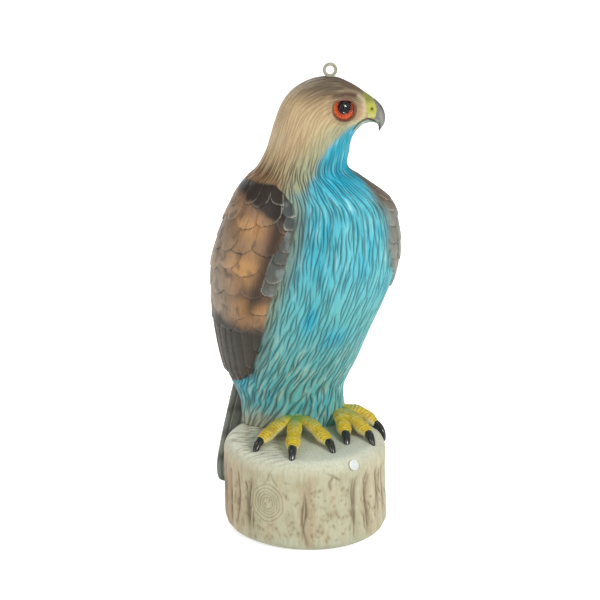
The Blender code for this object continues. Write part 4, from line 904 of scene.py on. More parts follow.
    def wing_paint(self, x: Array, z: Array, cloud: Array, fine: Array) -> Array:
        """Browns of the wings: tan middles, dark tops and front edges, pale rims, painted shade under the
        feather tips and towards each feather's base, and a painted highlight along the outer left rim.
        """
        plumes, past, y = self.feathers, self.past / MM, self.y / MM
        colour = ground(x, 126, 98, 74)
        # paler grey along the wing's outer left rim: a painted highlight
        colour = lay(colour, srgb(164, 150, 132), 0.8 * smooth(-52, -72, x + 4 * cloud))
        for px, pz, wide, tall in WING_TANS:
            spot = bell(np.hypot((x - px) / wide, (z - pz) / tall))
            colour = lay(colour, srgb(180, 136, 92), 0.9 * spot)
            colour = lay(colour, srgb(196, 146, 84), 0.5 * spot ** 3)
        mottle = Noise(19).layers(x / 11, z / 13, y / 11, 3)
        top = smooth(-4, 4, z - table(WING_LEDGE, x) + 3 * fine)
        rear, right = smooth(0, 14, y), smooth(30, 50, x)
        bar = bell((z - 228 + 6 * cloud) / 6) * smooth(-66, -46, x)
        front = bell((past - 13) / 7) * smooth(318, 296, z) * smooth(196, 222, z)
        inner = smooth(1.4, 1.6, plumes["kind"]) * (1 - right) * smooth(318, 300, z)
        inner = inner * smooth(206, 236, z)
        colour = airbrush(
            colour,
            dusk=((92, 78, 66), 0.65 * smooth(0.05, 0.75, mottle)),
            rust=((164, 108, 72), 0.4 * smooth(0.2, 0.8, -mottle) * smooth(-66, -48, x)),
            bar=((70, 56, 44), 0.6 * bar),
            front=((44, 34, 26), 0.88 * front),
            primaries=((42, 39, 28), 0.96 * smooth(204, 190, z + 4 * cloud + 0.2 * (x + 50))),
            primary_rims=((118, 106, 84), 0.4 * smooth(182, 150, z) * plumes["rim"]),
            shoulder=((26, 21, 16), 0.94 * top),
            back=((84, 71, 58), 0.7 * rear),
            far_wing=((136, 140, 130), 0.75 * right * (1 - rear)),
            far_shoulder=((108, 88, 72), 0.8 * right * smooth(288, 304, z)),
            scallops=((74, 84, 82), 0.8 * inner),
            scallop_light=((128, 142, 140), 0.6 * inner * smooth(0, 0.7, mottle + 0.4 * fine)),
        )
        # each feather paler towards its tip and darker towards its covered base: painted highlight and
        # painted shade; tone and fine vary at random
        colour = colour * (1 + 0.12 * plumes["tone"] + 0.12 * fine - 0.3 * plumes["length"])[..., None]
        pale = 0.05 + 0.42 * top * (1 - rear) + 0.3 * inner
        pale = pale * smooth(-0.7, 0.3, mottle + 0.5 * plumes["tone"])
        colour = lay(colour, srgb(196, 188, 172), pale * plumes["rim"])
        shade = 0.86 * plumes["shade"] * smooth(-0.9, 0, mottle + plumes["tone"])
        return colour * ((1 - shade) * (1 - 0.14 * plumes["quill"]))[..., None]

    def face_paint(self, base: Array, x: Array, z: Array) -> Array:
        """Colours of the brow, lores, cere, beak and chin, with painted shadow in the crease over the lid and
        painted highlights on the brow's ridge and the beak.
        """
        cere = self.on_cere()
        haze = bell(line_distance(x, z, BROW[1:], 6.5) / 3.2) * smooth(22, 36, x)
        over = bell(line_distance(x, z, BROW[1:], 3.2) / 1.3) * smooth(20, 34, x) * smooth(48, 42, x)
        brow = bell(line_distance(x, z, BROW, 0.6) / 1.6) * smooth(18, 30, x) * smooth(50, 44, x)
        slope = smooth(372, 374, z + 0.4 * np.clip(x - 60, 0, 9))
        horn = smooth(-0.5, 0.5, x - at_height(CERE_FRONT, z)) * np.maximum(slope, smooth(61, 63.5, x))
        horn = horn * smooth(354, 356, z)
        glint = bell((x - 64.5 + 0.12 * (z - 374)) / 1.6) * smooth(382, 376, z)
        chin = smooth(0.8, -0.8, z - table(MOUTH, x)) * smooth(40, 43, x) * smooth(360, 364, z)
        chin = chin + smooth(46, 50, x) * smooth(374, 372, z) * smooth(340, 350, z)
        forward, up, _ = self.eye.local(stack(self.x, self.y, self.z))
        rim = bell((self.eye.spread(forward, up) - 1) / 0.09) * smooth(366, 368, z)
        return airbrush(
            base,
            haze=((96, 72, 62), 0.5 * haze),
            # pale band on the ridge above the brow's fold: a painted highlight
            over_brow=((182, 158, 126), 0.45 * over),
            # dark line in the crease above the lid: painted shadow
            brow=((82, 54, 46), 0.85 * brow),
            lore=((214, 204, 158), 0.55 * bell(line_distance(x, z, LORE) / 2.1)),
            cere=((176, 176, 74), cere),
            cere_light=((206, 208, 140), 0.6 * cere * smooth(381, 376, z)),
            cere_dark=((96, 98, 52), 0.7 * cere * smooth(385, 391, z)),
            horn=((122, 120, 116), horn),
            horn_back=((52, 49, 46), horn * smooth(0, 4.5, z - table(HORN_BACK, x))),
            horn_tip=((54, 52, 50), 0.85 * horn * smooth(371, 364, z)),
            horn_glint=((168, 166, 160), 0.6 * horn * glint),
            chin=((160, 184, 164), 0.95 * np.clip(chin, 0, 1) * (1 - horn)),
            mouth=((50, 46, 32), 0.92 * bell(line_distance(x, z, MOUTH) / 1.1)),
            nostril=((40, 38, 24), bell(np.hypot(x - NOSTRIL[0], 0.8 * (z - NOSTRIL[1])) / 1.1)),
            eye_rim=((96, 58, 42), 0.9 * rim),
        )

    def gloss(self) -> Array:
        """One where the paint is glossy: the beak."""
        x, z = self.x / MM, self.z / MM
        return smooth(-0.5, 0.5, x - at_height(CERE_FRONT, z)) * smooth(360, 364, z)

    def build(self, material: Finish) -> Piece:
        """Make the skin of this stretch.

        Args:
            material: its paint.

        Returns:
            The new piece, which is not yet on a body.
        """
        def wide(values: Array) -> Array:
            values = np.concatenate([values[:, :1], values, values[:, -1:]], axis=1)
            return np.concatenate([values, values[-1:]], axis=0)

        name = f"{self.half.name.lower()}_{self.part.name.lower()}_skin"
        layers = {"paint": wide(self.paint()), "flow": wide(self.flow), "gloss": wide(self.gloss())}
        mesh = grid_mesh(name, self.shape(), layers, outward=Vector((0, -self.half.value, 0)))
        return make_object(name, mesh, material)


def fused(name: str, shapes: Sequence[Mesh], voxel: float, rounds: int) -> Mesh:
    """Melt closed shapes into one skin and soften it.

    Args:
        name: name of the new mesh.
        shapes: closed meshes, which are used up.
        voxel: size of the cells that the skin is made from.
        rounds: how often the skin is smoothed.

    Returns:
        The melted mesh.
    """
    joined = bmesh.new()
    for shape in shapes:
        joined.from_mesh(shape)
        bpy.data.meshes.remove(shape)
    mesh = bpy.data.meshes.new(name)
    joined.to_mesh(mesh)
    joined.free()
    holder = bpy.data.objects.new(name + "_melt", mesh)
    link(holder)
    melt = holder.modifiers.new("melt", "REMESH")
    melt.mode = "VOXEL"
    melt.voxel_size = voxel
    bpy.context.view_layer.update()
    graph = bpy.context.evaluated_depsgraph_get()
    result = bpy.data.meshes.new_from_object(holder.evaluated_get(graph))
    bpy.data.objects.remove(holder, do_unlink=True)
    shape = bmesh.new()
    shape.from_mesh(result)
    for _ in range(rounds):
        bmesh.ops.smooth_vert(
            shape, verts=shape.verts, factor=0.5, use_axis_x=True, use_axis_y=True, use_axis_z=True,
        )
    shape.to_mesh(result)
    shape.free()
    return result


def tube_points(
    line: Array, radii: Array, sides: int, flatten: float, first_way: Array | None = None,
) -> Array:
    """Rings of points round a line, each closed by its first point.

    Args:
        line: places along the middle.
        radii: the radius at each place.
        sides: points on a ring.
        flatten: height of a ring as a share of its width.
        first_way: the way that the line starts off, where its own points don't give it.

    Returns:
        Rows x columns x 3 positions.
    """
    ways = np.gradient(line, axis=0)
    if first_way is not None:
        ways[0] = first_way
    ways = unit(ways)
    wide = unit(np.cross(ways, [0, 0, 1]))
    high = np.cross(wide, ways)
    turns = np.linspace(0, TURN, sides + 1)[None, :, None]
    ring = wide[:, None] * np.cos(turns) + high[:, None] * np.sin(turns) * flatten
    return line[:, None] + ring * radii[:, None, None]


@dataclass(frozen=True)
class Stump:
    """The log: an oval with a rounded rim, a root that spreads to the right, bark, a knot and pits.

    Furrows are turns from the right and depth shares. Zones of pits are left, right, lowest, highest, how
    many and the side, above 0 behind. The knot, cracks and flame lie at millimetres across and up.
    """

    half_width: float = 74 * MM
    half_depth: float = 66 * MM
    height: float = 84 * MM
    middle_y: float = -9 * MM
    rim_round: float = 12 * MM
    foot_round: float = 10 * MM
    spread: float = 4.5 * MM
    spread_top: float = 60 * MM
    spread_turn: float = math.radians(-48)
    bark_depth: float = 2.2 * MM
    furrow_reach: float = 8 * MM
    furrows: Line = (
        (-0.467, 0.6), (-0.433, 1), (-0.4, 0.6), (-0.367, 0.8), (-0.25, 0.8), (-0.15, 0.7), (-0.117, 1),
        (-0.083, 0.7), (-0.05, 0.9), (0.033, 0.8), (0.1, 1), (0.167, 0.7), (0.217, 1), (0.283, 0.8),
        (0.35, 1), (0.417, 0.8),
    )
    knot: tuple[float, float] = (-33.2, 44.8)
    vent_turn: float = math.radians(-53)
    vent_upturn: float = math.radians(30)
    seat_radius: float = 5.4 * MM
    seat_depth: float = 2 * MM
    pit_zones: tuple[tuple[float, float, float, float, int, float], ...] = (
        (4, 42, 9, 60, 70, -1), (-46, -4, 8, 26, 24, -1),
        (-22, -2, 24, 66, 16, -1), (-72, -50, 10, 66, 18, -1),
        (44, 72, 10, 66, 16, -1), (-72, 72, 9, 68, 90, 1),
    )
    knot_size: tuple[float, float] = (13.5, 17.5)
    knot_rings: tuple[float, ...] = (0.33, 0.47, 0.62, 0.79, 1)
    cracks: Sequence[Line] = (
        ((19, 75), (23.5, 72.5), (30.5, 67)), ((25, 71.5), (21.5, 66), (22.5, 60)),
    )
    flame: Sequence[Line] = (
        ((-36, 62.5), (-33, 68), (-31, 75)), ((-25, 62.5), (-28.5, 67), (-31, 75)),
    )

    def surface(self, x: Array, y: Array) -> Array:
        """Height of the top at a place in plan."""
        reach = np.hypot(x / self.half_width, (y - self.middle_y) / self.half_depth)
        inside = (1 - reach) * 0.5 * (self.half_width + self.half_depth)
        drop = self.rim_round - np.clip(inside, 0, self.rim_round)
        return self.height - self.rim_round + np.sqrt(self.rim_round ** 2 - drop ** 2)

    def vent_place(self) -> tuple[Vector, Vector]:
        """Middle of the vent plug on the smooth rim, and the way that it looks."""
        drawn_in = self.rim_round * (1 - math.cos(self.vent_upturn))
        cosine, sine = math.cos(self.vent_turn), math.sin(self.vent_turn)
        place = Vector((
            (self.half_width - drawn_in) * cosine, self.middle_y + (self.half_depth - drawn_in) * sine,
            self.height - self.rim_round + self.rim_round * math.sin(self.vent_upturn),
        ))
        level = Vector((cosine / self.half_width, sine / self.half_depth, 0)).normalized()
        return place, level * math.cos(self.vent_upturn) + Vector((0, 0, math.sin(self.vent_upturn)))

    def outline(self) -> tuple[Array, Array]:
        """How far the outside is drawn in, and its height, from the foot over the rim to the top's middle."""
        foot = np.linspace(0, 0.5 * math.pi, 14)
        wall = np.linspace(self.foot_round, self.height - self.rim_round, 74)[1:]
        rim = np.linspace(0, 0.5 * math.pi, 20)[1:]
        top = np.linspace(self.rim_round, self.half_depth, 40)[1:]
        inset = np.concatenate([
            self.foot_round * (1 - np.sin(foot)), 0 * wall, self.rim_round * (1 - np.cos(rim)), top,
        ])
        height = np.concatenate([
            self.foot_round * (1 - np.cos(foot)), wall,
            self.height - self.rim_round + self.rim_round * np.sin(rim), 0 * top + self.height,
        ])
        return inset[:, None], height[:, None]

    def folds(self, turn: Array, height: Array, sway: Array) -> Array:
        """The broad furrows of the bark, from 0 to 1."""
        radius = 0.5 * (self.half_width + self.half_depth)
        deepest = np.zeros(turn.shape)
        for place, depth in self.furrows:
            aside = turn / TURN - place
            away = np.abs(TURN * radius * (aside - np.rint(aside)) + sway)
            deepest = np.maximum(deepest, depth * np.clip(1 - away / self.furrow_reach, 0, None))
        rise = smooth(0, self.foot_round, height)
        return rise * smooth(0, self.rim_round, self.height - self.rim_round - height) * deepest

    def creases(self) -> list[Stroke]:
        """Narrow wavy creases: one in each broad furrow, and loose ones where the bark is rough."""
        rng = np.random.default_rng(43)
        found = []
        for place, depth in self.furrows:
            for _ in range(2):
                found.append(Stroke(
                    rng.uniform(30, 46) * MM, TURN * place + rng.normal(0, 0.012),
                    rng.uniform(44, 62) * MM, (0.6 + 0.5 * depth) * MM, rng.normal(0, 0.04),
                    rng.uniform(0.6, 1.7) * MM, rng.uniform(0, TURN),
                ))
        while len(found) < 150:
            turn = rng.uniform(-math.pi, math.pi)
            x = math.cos(turn) * 74
            calm = math.sin(turn) < 0 and -46 < x < 40
            if calm and rng.uniform() < 0.88:
                continue
            length = rng.uniform(10, 34) * MM
            level = rng.uniform(8 * MM + 0.5 * length, 76 * MM - 0.5 * length)
            found.append(Stroke(
                level, turn, length, rng.uniform(0.5, 1) * MM, rng.normal(0, 0.07),
                rng.uniform(0.3, 1.4) * MM, rng.uniform(0, TURN),
            ))
        return found

    def pits(self, turn: Array, height: Array) -> Array:
        """Small upright pits, thickest to the right of the middle crease."""
        rng = np.random.default_rng(47)
        depth = np.zeros(turn.shape)
        for left, right, low, high, count, side in self.pit_zones:
            for _ in range(count):
                place = side * math.acos(rng.uniform(left, right) / 74)
                level = rng.uniform(low, high)
                wide, tall, share = rng.uniform(0.7, 1.5), rng.uniform(1, 2.6), rng.uniform(0.45, 1)
                lean = rng.uniform(-0.4, 0.4)
                rows = np.flatnonzero(np.abs(height[:, 0] / MM - level) < 3 * tall)
                if not len(rows):
                    continue
                window = slice(rows[0], rows[-1] + 1)
                up = height[window] / MM - level
                away = wrap(turn[window] - place) * 70 + lean * up
                spot = share * bell(np.hypot(away / wide, up / tall))
                depth[window] = np.maximum(depth[window], spot)
        return depth

    def build(self, material: Finish) -> Piece:
        """Make the log's outside with its bark and paint."""
        inset, height = self.outline()
        turn = np.linspace(-math.pi, math.pi, 631)[None]
        inset, height, turn = np.broadcast_arrays(inset, height, turn)
        aside = np.maximum(0, np.cos(turn - self.spread_turn))
        spread = self.spread * aside ** 2 * smooth(0, 1, 1 - height / self.spread_top)
        wall = smooth(0, 8 * MM, height) * smooth(self.height - 2 * MM, self.height - 14 * MM, height)
        x, y = (self.half_width - inset) * np.cos(turn) / MM, (self.half_depth - inset) * np.sin(turn) / MM
        z = height / MM
        front = smooth(0, -10, y)
        noise, bark = Noise(12), Noise(31)
        round_x, round_y = np.cos(turn) * 70, np.sin(turn) * 70
        sway = 2.2 * MM * noise(round_x / 30, round_y / 30, z / 34)
        folds = self.folds(turn, height, sway)
        crease = press(self.creases(), height[:, 0], turn, 70 * MM + 0 * turn)
        pits = self.pits(turn, height)
        kx, kz = (x - self.knot[0]) / self.knot_size[0], (z - self.knot[1]) / self.knot_size[1]
        reach = np.hypot(kx, kz) + 0.06 * noise(kx * 1.6, kz * 1.6, 7)
        in_knot = smooth(1.1, 1.02, reach) * front
        rings = sum(bell((reach - ring) / 0.034) for ring in self.knot_rings)
        core = smooth(0.3, 0.24, reach) * smooth(-0.1, 0.5, noise(x / 1.8, z / 1.8, 2))
        rings = np.clip(rings + core, 0, 1) * in_knot
        cracks, flame = (
            np.minimum(*(line_distance(x, z, line) for line in lines)) for lines in (self.cracks, self.flame)
        )
        cracks = (bell(cracks / 0.95) + 0.55 * bell(flame / 0.9)) * front
        bare = 1 - smooth(1.2, 1.05, reach) * front
        rough = 0.5 + 0.5 * bark(round_x / 5, round_y / 5, z / 14)
        relief = self.bark_depth * folds * bare + MM * wall * (
            bare * (1.35 * crease + 1.25 * pits + 0.4 * rough) + 0.75 * rings + 1.3 * cracks
        )
        top = 1 - smooth(self.height - 0.5 * MM, self.height - 5 * MM, height)
        strokes = smooth(0.78, 0.97, 1 - np.abs(bark(x / 26 + 5, y / 5.5, 3))) * smooth(10, -30, x)
        relief = relief + 0.35 * MM * top * strokes
        out = spread - inset - relief * (1 - top)
        points = self.seat(stack(
            (self.half_width + out) * np.cos(turn), (self.half_depth + out) * np.sin(turn) + self.middle_y,
            height - relief * top,
        ))
        marks = np.stack([folds, crease, pits, rings, cracks, strokes])
        colour = self.paint(x, z, (round_x, round_y), marks, bare, wall, top)
        mesh = grid_mesh("stump_skin", points, {"paint": colour}, closed=True)
        return make_object("stump_skin", mesh, material)

    def seat(self, points: Array) -> Array:
        """Press the flat round seat of the vent plug into the rim."""
        place, way = (np.array(vector) for vector in self.vent_place())
        offset = points - place
        out = offset @ way
        away = np.linalg.norm(offset - out[..., None] * way, axis=-1)
        near = (np.abs(out) < 6 * MM) * smooth(self.seat_radius + 0.5 * MM, self.seat_radius, away)
        sink = np.minimum(-self.seat_depth - out, 0) * near
        return points + sink[..., None] * way

    def paint(self, x: Array, z: Array, around: tuple[Array, Array], marks: Array, bare: Array, wall: Array,
              top: Array) -> Array:
        """Washes of stone beige, browner in the bark's furrows; painted shade on the left side, at the left
        edge and beside the middle crease; painted light on the right side; grey on the top, with a painted
        highlight along the rim.

        Args:
            x: place across.
            z: height.
            around: place round the log, as two coordinates.
            marks: furrows, creases, pits, knot rings, cracks and strokes on the top, from 0 to 1.
            bare: nothing on the knot, one elsewhere.
            wall: one on the wall.
            top: one on the top.

        Returns:
            The colour of each point.
        """
        folds, crease, pits, rings, cracks, strokes = marks
        noise, bark = Noise(57), wall * bare
        cloud = noise.layers(around[0] / 34, around[1] / 34, z / 30, 3)
        streak = noise(around[0] / 7, around[1] / 7, z / 46)
        return airbrush(
            ground(x, 184, 182, 152),
            clouds=((168, 162, 128), 0.75 * smooth(-0.1, 0.6, cloud)),
            foot=((182, 186, 160), 0.8 * smooth(20, 4, z + 5 * cloud)),
            streaks=((182, 164, 132), 0.5 * smooth(0, 0.6, streak) * wall),
            # warmer and darker on the left side and browner at its edge, away from the key lamp: painted
            # shade
            left=((192, 174, 140), 0.65 * smooth(-44, -66, x + 5 * streak) * wall),
            left_edge=((140, 110, 82), 0.5 * smooth(-66, -73, x) * wall),
            # paler on the right side, towards the key lamp: painted light
            right=((206, 196, 164), 0.55 * smooth(44, 58, x + 4 * streak) * wall),
            # brown on the right of the middle crease: painted shade
            middle=((178, 158, 126), 0.6 * bell((x - 5) / 5) * smooth(-1, 1, x) * wall),
            furrows=((152, 130, 98), 0.55 * folds * bark),
            creases=((98, 78, 54), 0.78 * crease * bark),
            pits=((134, 110, 80), 0.7 * pits * bark),
            knot=((184, 178, 146), 0.5 * (1 - bare) * wall),
            rings=((132, 116, 84), 0.62 * rings),
            cracks=((120, 98, 70), 0.62 * np.clip(cracks, 0, 1) * wall),
            # grey rim and top: the top's grey paint, with a painted highlight along the rim
            rim=((206, 208, 190), 0.85 * smooth(70, 82, z + 3 * cloud) * (0.55 + 0.45 * top)),
            strokes=((132, 114, 88), 0.6 * strokes * top),
        )


@dataclass(frozen=True)
class Tail:
    """The tail blade behind the stump, with long feathers side by side."""

    half_width: float = 29 * MM
    half_thickness: float = 6 * MM
    inset: float = 0.3 * MM
    turn: float = math.radians(30)
    shares: Rows = (
        (-0.41, 0.8, 1.85, 0.78, 1.2), (-0.49, 0.93, 1.45, 0.98, 1.1), (-0.57, 1.02, 1.05, 1.03, 0.9),
        (-0.65, 1.06, 0.7, 1.02, 0.8), (-0.71, 1.07, 0.39, 0.99, 0.75), (-0.73, 1.07, 0.19, 0.87, 0.6),
        (-0.74, 1.07, 0.115, 0.52, 0.35),
    )

    def build(self, form: BirdForm, material: Finish) -> Piece:
        """Make the blade."""
        rows = np.array(self.shares)
        read = between(rows, np.linspace(0, len(rows) - 1, 190))
        middle = read[:, :3] * np.array([form.half_width, form.half_depth, form.foot])
        wide_way = np.array([math.cos(self.turn), math.sin(self.turn), 0])
        deep_way = np.array([-math.sin(self.turn), math.cos(self.turn), 0])
        turns = np.linspace(0, TURN, 161)[None]
        across = np.cos(turns) * 3
        lane = across - np.rint(across)
        line = bell(np.abs(lane) - 0.5, 0.07)
        quill = bell(lane, 0.035)
        lap = 0.5 * (0.5 + lane) * (np.abs(across) < 3)
        depth = (0.9 * line + lap) * MM * (0.4 + 0.6 * smooth(1, 0.9, np.abs(np.cos(turns))))
        wide = (read[:, 3:4] * self.half_width - self.inset - 0.6 * depth) * np.cos(turns)
        deep = (read[:, 4:5] * self.half_thickness - self.inset - depth) * np.sin(turns)
        points = middle[:, None] + wide_way * wide[..., None] + deep_way * deep[..., None]
        z = points[..., 2] / MM
        barb = Noise(61)(across * 9 + z * 0.25, z * 0.35, 1)
        colour = airbrush(
            ground(z, 150, 158, 152),
            upper=((104, 104, 94), 0.6 * smooth(40, 110, z)),
            bands=((66, 60, 54), 0.55 * bell((z % 26 - 13) / 5)),
            gaps=((46, 44, 40), 0.7 * line + 0 * z),
            quills=((150, 146, 132), 0.4 * quill + 0 * z),
        )
        colour = colour * (1 + 0.08 * barb)[..., None]
        layers = {"paint": colour, "flow": stack(across, z / 36, 0), "gloss": 0 * z}
        return make_object("tail_skin", grid_mesh("tail_skin", points, layers, closed=True), material)


@dataclass(frozen=True)
class Foot:
    """One foot: a scaled ankle with three toes that lie over the rim, and their claws."""

    side: str
    ankle_shares: tuple[float, float]
    toes: tuple[tuple[str, float, float], ...]
    ankle_radius: float = 9.5 * MM
    ankle_top: float = 6.5 * MM
    ankle_height: float = 22 * MM
    toe_radius: float = 6.6 * MM
    flatten: float = 0.82
    arch: float = 6 * MM
    claw_radius: float = 4 * MM
    claw_reach: float = 14 * MM
    claw_drop: float = 13 * MM

    @property
    def ankle(self) -> Array:
        """Middle of the ankle in plan."""
        across, away = self.ankle_shares
        return np.array([across * BirdForm.half_width, away * BirdForm.half_depth])

    def line(self, stump: Stump, toe: tuple[str, float, float], count: int = 60) -> Array:
        """Middle line of a toe."""
        share = np.linspace(0, 1, count)
        end = np.array([toe[1] * stump.half_width, toe[2] * stump.half_depth + stump.middle_y])
        x, y = self.ankle[:, None] + (end - self.ankle)[:, None] * share
        lift = self.toe_radius * self.flatten * 0.92 + self.arch * np.sin(math.pi * (1 - share) ** 1.3)
        return stack(x, y, stump.surface(x, y) + lift)

    def build(self, stump: Stump, material: Finish) -> Piece:
        """Make the foot with scutes over its toes."""
        share = np.linspace(0, 1, 24)
        middle = np.append(self.ankle, 0)
        heights = stump.height + 0.3 * MM + (self.ankle_height - 0.3 * MM) * share
        line = middle + stack(0, 0, heights)
        radii = self.ankle_radius + (self.ankle_top - self.ankle_radius) * smooth(0, 1, share)
        turns = np.linspace(0, TURN, 41)[None, :, None]
        around = np.concatenate([np.cos(turns), np.sin(turns), 0 * turns], axis=-1)
        shapes = [grid_mesh("ankle", line[:, None] + around * radii[:, None, None], {}, closed=True)]
        lines = []
        for toe in self.toes:
            middle_line = self.line(stump, toe)
            along = np.linspace(0, 1, len(middle_line))
            swell = 0.05 * np.cos(6 * math.pi * along)
            end = 1 - 0.25 * np.clip((along - 0.85) / 0.15, 0, 1)
            radius = self.toe_radius * (1 - swell) * end
            tube = tube_points(middle_line, radius, 32, self.flatten)
            shapes.append(grid_mesh("toe", tube, {}, closed=True))
            lines.append(middle_line)
        mesh = fused(self.side + "_foot_skin", shapes, 0.62 * MM, 2)
        self.detail(stump, mesh, lines)
        return make_object(self.side + "_foot_skin", mesh, material)

    def detail(self, stump: Stump, mesh: Mesh, lines: list[Array]) -> None:
        """Press scutes and grain into a foot, seat it on the stump and paint it.

        Args:
            stump: the log under it.
            mesh: the foot's smooth skin, which is changed.
            lines: the toes' middle lines.
        """
        points, normals = vertex_values(mesh, "co"), vertex_values(mesh, "normal")
        best = np.full(len(points), 1e9)
        along, part = 0 * best, 0 * best
        for number, line in enumerate(lines):
            lengths = running(np.linalg.norm(np.diff(line, axis=0), axis=1))
            for place, length in zip(line, lengths):
                reach = np.linalg.norm(points - place, axis=1)
                closer = reach < best
                best[closer], along[closer], part[closer] = reach[closer], length, number
            along = np.where(part == number, along - lengths[-1], along)
        up = np.clip(normals[:, 2], 0, 1)
        noise = Noise(71)
        x, y, z = (points / MM).T
        wobble = 0.35 * noise(x / 3, y / 3, z / 3)
        phase = along / (2.9 * MM) + wobble
        scute = bell(np.abs(phase - np.rint(phase)), 0.16) * smooth(0.1, 0.5, up)
        scute *= smooth(-34 * MM, -27 * MM, along)
        grain = noise.layers(x / 1.6, y / 1.6, z / 1.6, 2)
        points = points + normals * ((0.14 * grain - 0.55 * scute) * MM)[:, None]
        top = stump.surface(points[:, 0], points[:, 1])
        points[:, 2] = np.maximum(points[:, 2], top + 0.05 * MM)
        mesh.vertices.foreach_set("co", points.ravel())
        mesh.update()
        cloud = noise.layers(x / 9, y / 9, z / 9, 2)
        above = (points[:, 2] - top) / MM
        pace = along / (11 * MM)
        joint = bell(np.abs(pace - np.rint(pace)), 0.13) * smooth(0, 0.6, up + 0.4 * grain)
        add_layer(mesh, "paint", airbrush(
            ground(x, 222, 198, 34),
            ochre=((216, 164, 26), 0.6 * smooth(0.1, 0.8, cloud + 0.3 * grain)),
            olive=((150, 124, 36), 0.5 * smooth(0.1, 0.8, -cloud)),
            sides=((222, 216, 158), 0.75 * smooth(0.55, 0.1, normals[:, 2] + 0.1 * grain)),
            joints=((228, 216, 130), 0.45 * joint),
            scutes=((140, 104, 28), 0.6 * scute),
            bare_line=((214, 216, 176), 0.85 * smooth(5.5, 2, above + 0.8 * grain)),
            foot_line=((198, 202, 184), 0.75 * smooth(4.5, 0.6, above)),
            roots=((110, 160, 56), 0.9 * smooth(-34, -44, along / MM + 3 * grain)),
            ankle=((96, 160, 120), 0.8 * smooth(13, 19, z - stump.height / MM)),
        ))

    def claw(self, stump: Stump, toe: tuple[str, float, float], material: Finish) -> Piece:
        """Make the hooked claw at a toe's end."""
        line = self.line(stump, toe, 11)
        toe_way = unit(line[-1] - line[-2])
        ahead = unit(np.array([toe_way[0], toe_way[1] - 0.6, 0]))
        share = np.linspace(0, 1, 40)
        forward = self.claw_reach * np.sin(0.5 * math.pi * share)
        down = self.claw_drop * (1 - np.cos(0.5 * math.pi * share))
        middle = line[-1] - toe_way * 0.6 * MM + ahead * forward[:, None]
        middle[:, 2] -= down
        radii = self.claw_radius * (1 + (0.16 - 1) * share ** 1.6)
        radii *= np.sqrt(np.clip((1.02 - share) / 0.1, 0, 1))
        name = f"{self.side}_claw_{toe[0]}_skin"
        points = tube_points(middle, radii, 28, 1, toe_way)
        noise = Noise(83)
        turns = np.linspace(0, TURN, 29)[None]
        share = share[:, None]
        ridge = np.cos(3 * turns + 0.5) + 0.5 * noise(np.cos(turns) * 2, np.sin(turns) * 2, share * 2)
        points = middle[:, None] + (points - middle[:, None]) * (1 - 0.05 * ridge)[..., None]
        layers = {"flow": stack(turns, share, 0)}
        return make_object(name, grid_mesh(name, points, layers, closed=True), material)


@dataclass(frozen=True)
class Eye:
    """A set-in eye: black cup, printed iris, clear dome and the painted lid round them."""

    side: str
    place: EyePlace
    stem: float = 2.5 * MM
    stem_length: float = 6 * MM
    chamfer: float = 0.3 * MM
    pupil_offset: tuple[float, float] = (0.07, 0.24)

    def cup(self, material: Finish) -> Piece:
        """The black cup with its stem, behind the iris."""
        edge, low, floor = self.place.radius, -4.8 * MM, -2.9 * MM
        end = low - self.stem_length
        profile = [(0, end), (self.stem - 1 * MM, end), (self.stem, end + 1 * MM), (self.stem, low)]
        profile += [(edge - self.chamfer, low), (edge, low + self.chamfer), (edge, floor), (0, floor)]
        name = f"{self.side}_cup_round"
        return make_object(name, lathe(name, profile, self.place.matrix()), material)

    def iris(self, material: Finish) -> Piece:
        """The printed disc, with each point's place on it kept for the print."""
        edge, low, high = self.place.radius - 0.1 * MM, -2.5 * MM, -1.5 * MM
        profile = [(0, low), (edge - 0.1 * MM, low), (edge, low + 0.1 * MM), (edge, high - 0.1 * MM)]
        profile += [(edge * share, high) for share in (0.99, 0.8, 0.6, 0.4, 0.2)] + [(0, high)]
        name = f"{self.side}_iris_print"
        mesh = lathe(name, profile, self.place.matrix(), 96)
        forward, up, _ = self.place.local(vertex_values(mesh, "co"))
        off_x, off_z = self.pupil_offset
        add_layer(mesh, "disc", stack(forward / edge - off_x, up / edge - off_z, 0))
        return make_object(name, mesh, material)

    def dome(self, material: Finish) -> Piece:
        """The clear dome, a cap of a ball."""
        reach = np.linspace(self.place.radius, 0, 26)
        profile = [(0, -self.place.sink)] + [(float(r), float(self.place.dome_height(r))) for r in reach]
        name = f"{self.side}_dome_clear"
        return make_object(name, lathe(name, profile, self.place.matrix(), 96), material)

    def lid(self, material: Finish) -> Piece:
        """The painted rim of the lids, a soft band on the almond's line."""
        turn = np.linspace(0, TURN, 181)
        wide, high = self.place.outline(turn)
        reach = np.hypot(wide, high)
        lift = self.place.dome_height(np.minimum(reach, self.place.radius)) + 0.35 * MM
        flat = np.outer(wide, self.place.forward) + np.outer(high, self.place.up)
        middle = self.place.middle + flat + np.outer(lift, self.place.axis)
        out = flat / reach[:, None]
        radius = (0.5 + 0.35 * smooth(0.1, 0.9, np.sin(turn))) * MM
        rings = np.linspace(0, TURN, 17)[None, :, None]
        points = middle[:, None] + radius[:, None, None] * (
            out[:, None] * np.cos(rings) + self.place.axis * np.sin(rings)
        )
        name = f"{self.side}_eyelid"
        return make_object(name, grid_mesh(name, points, {}, closed=True), material)


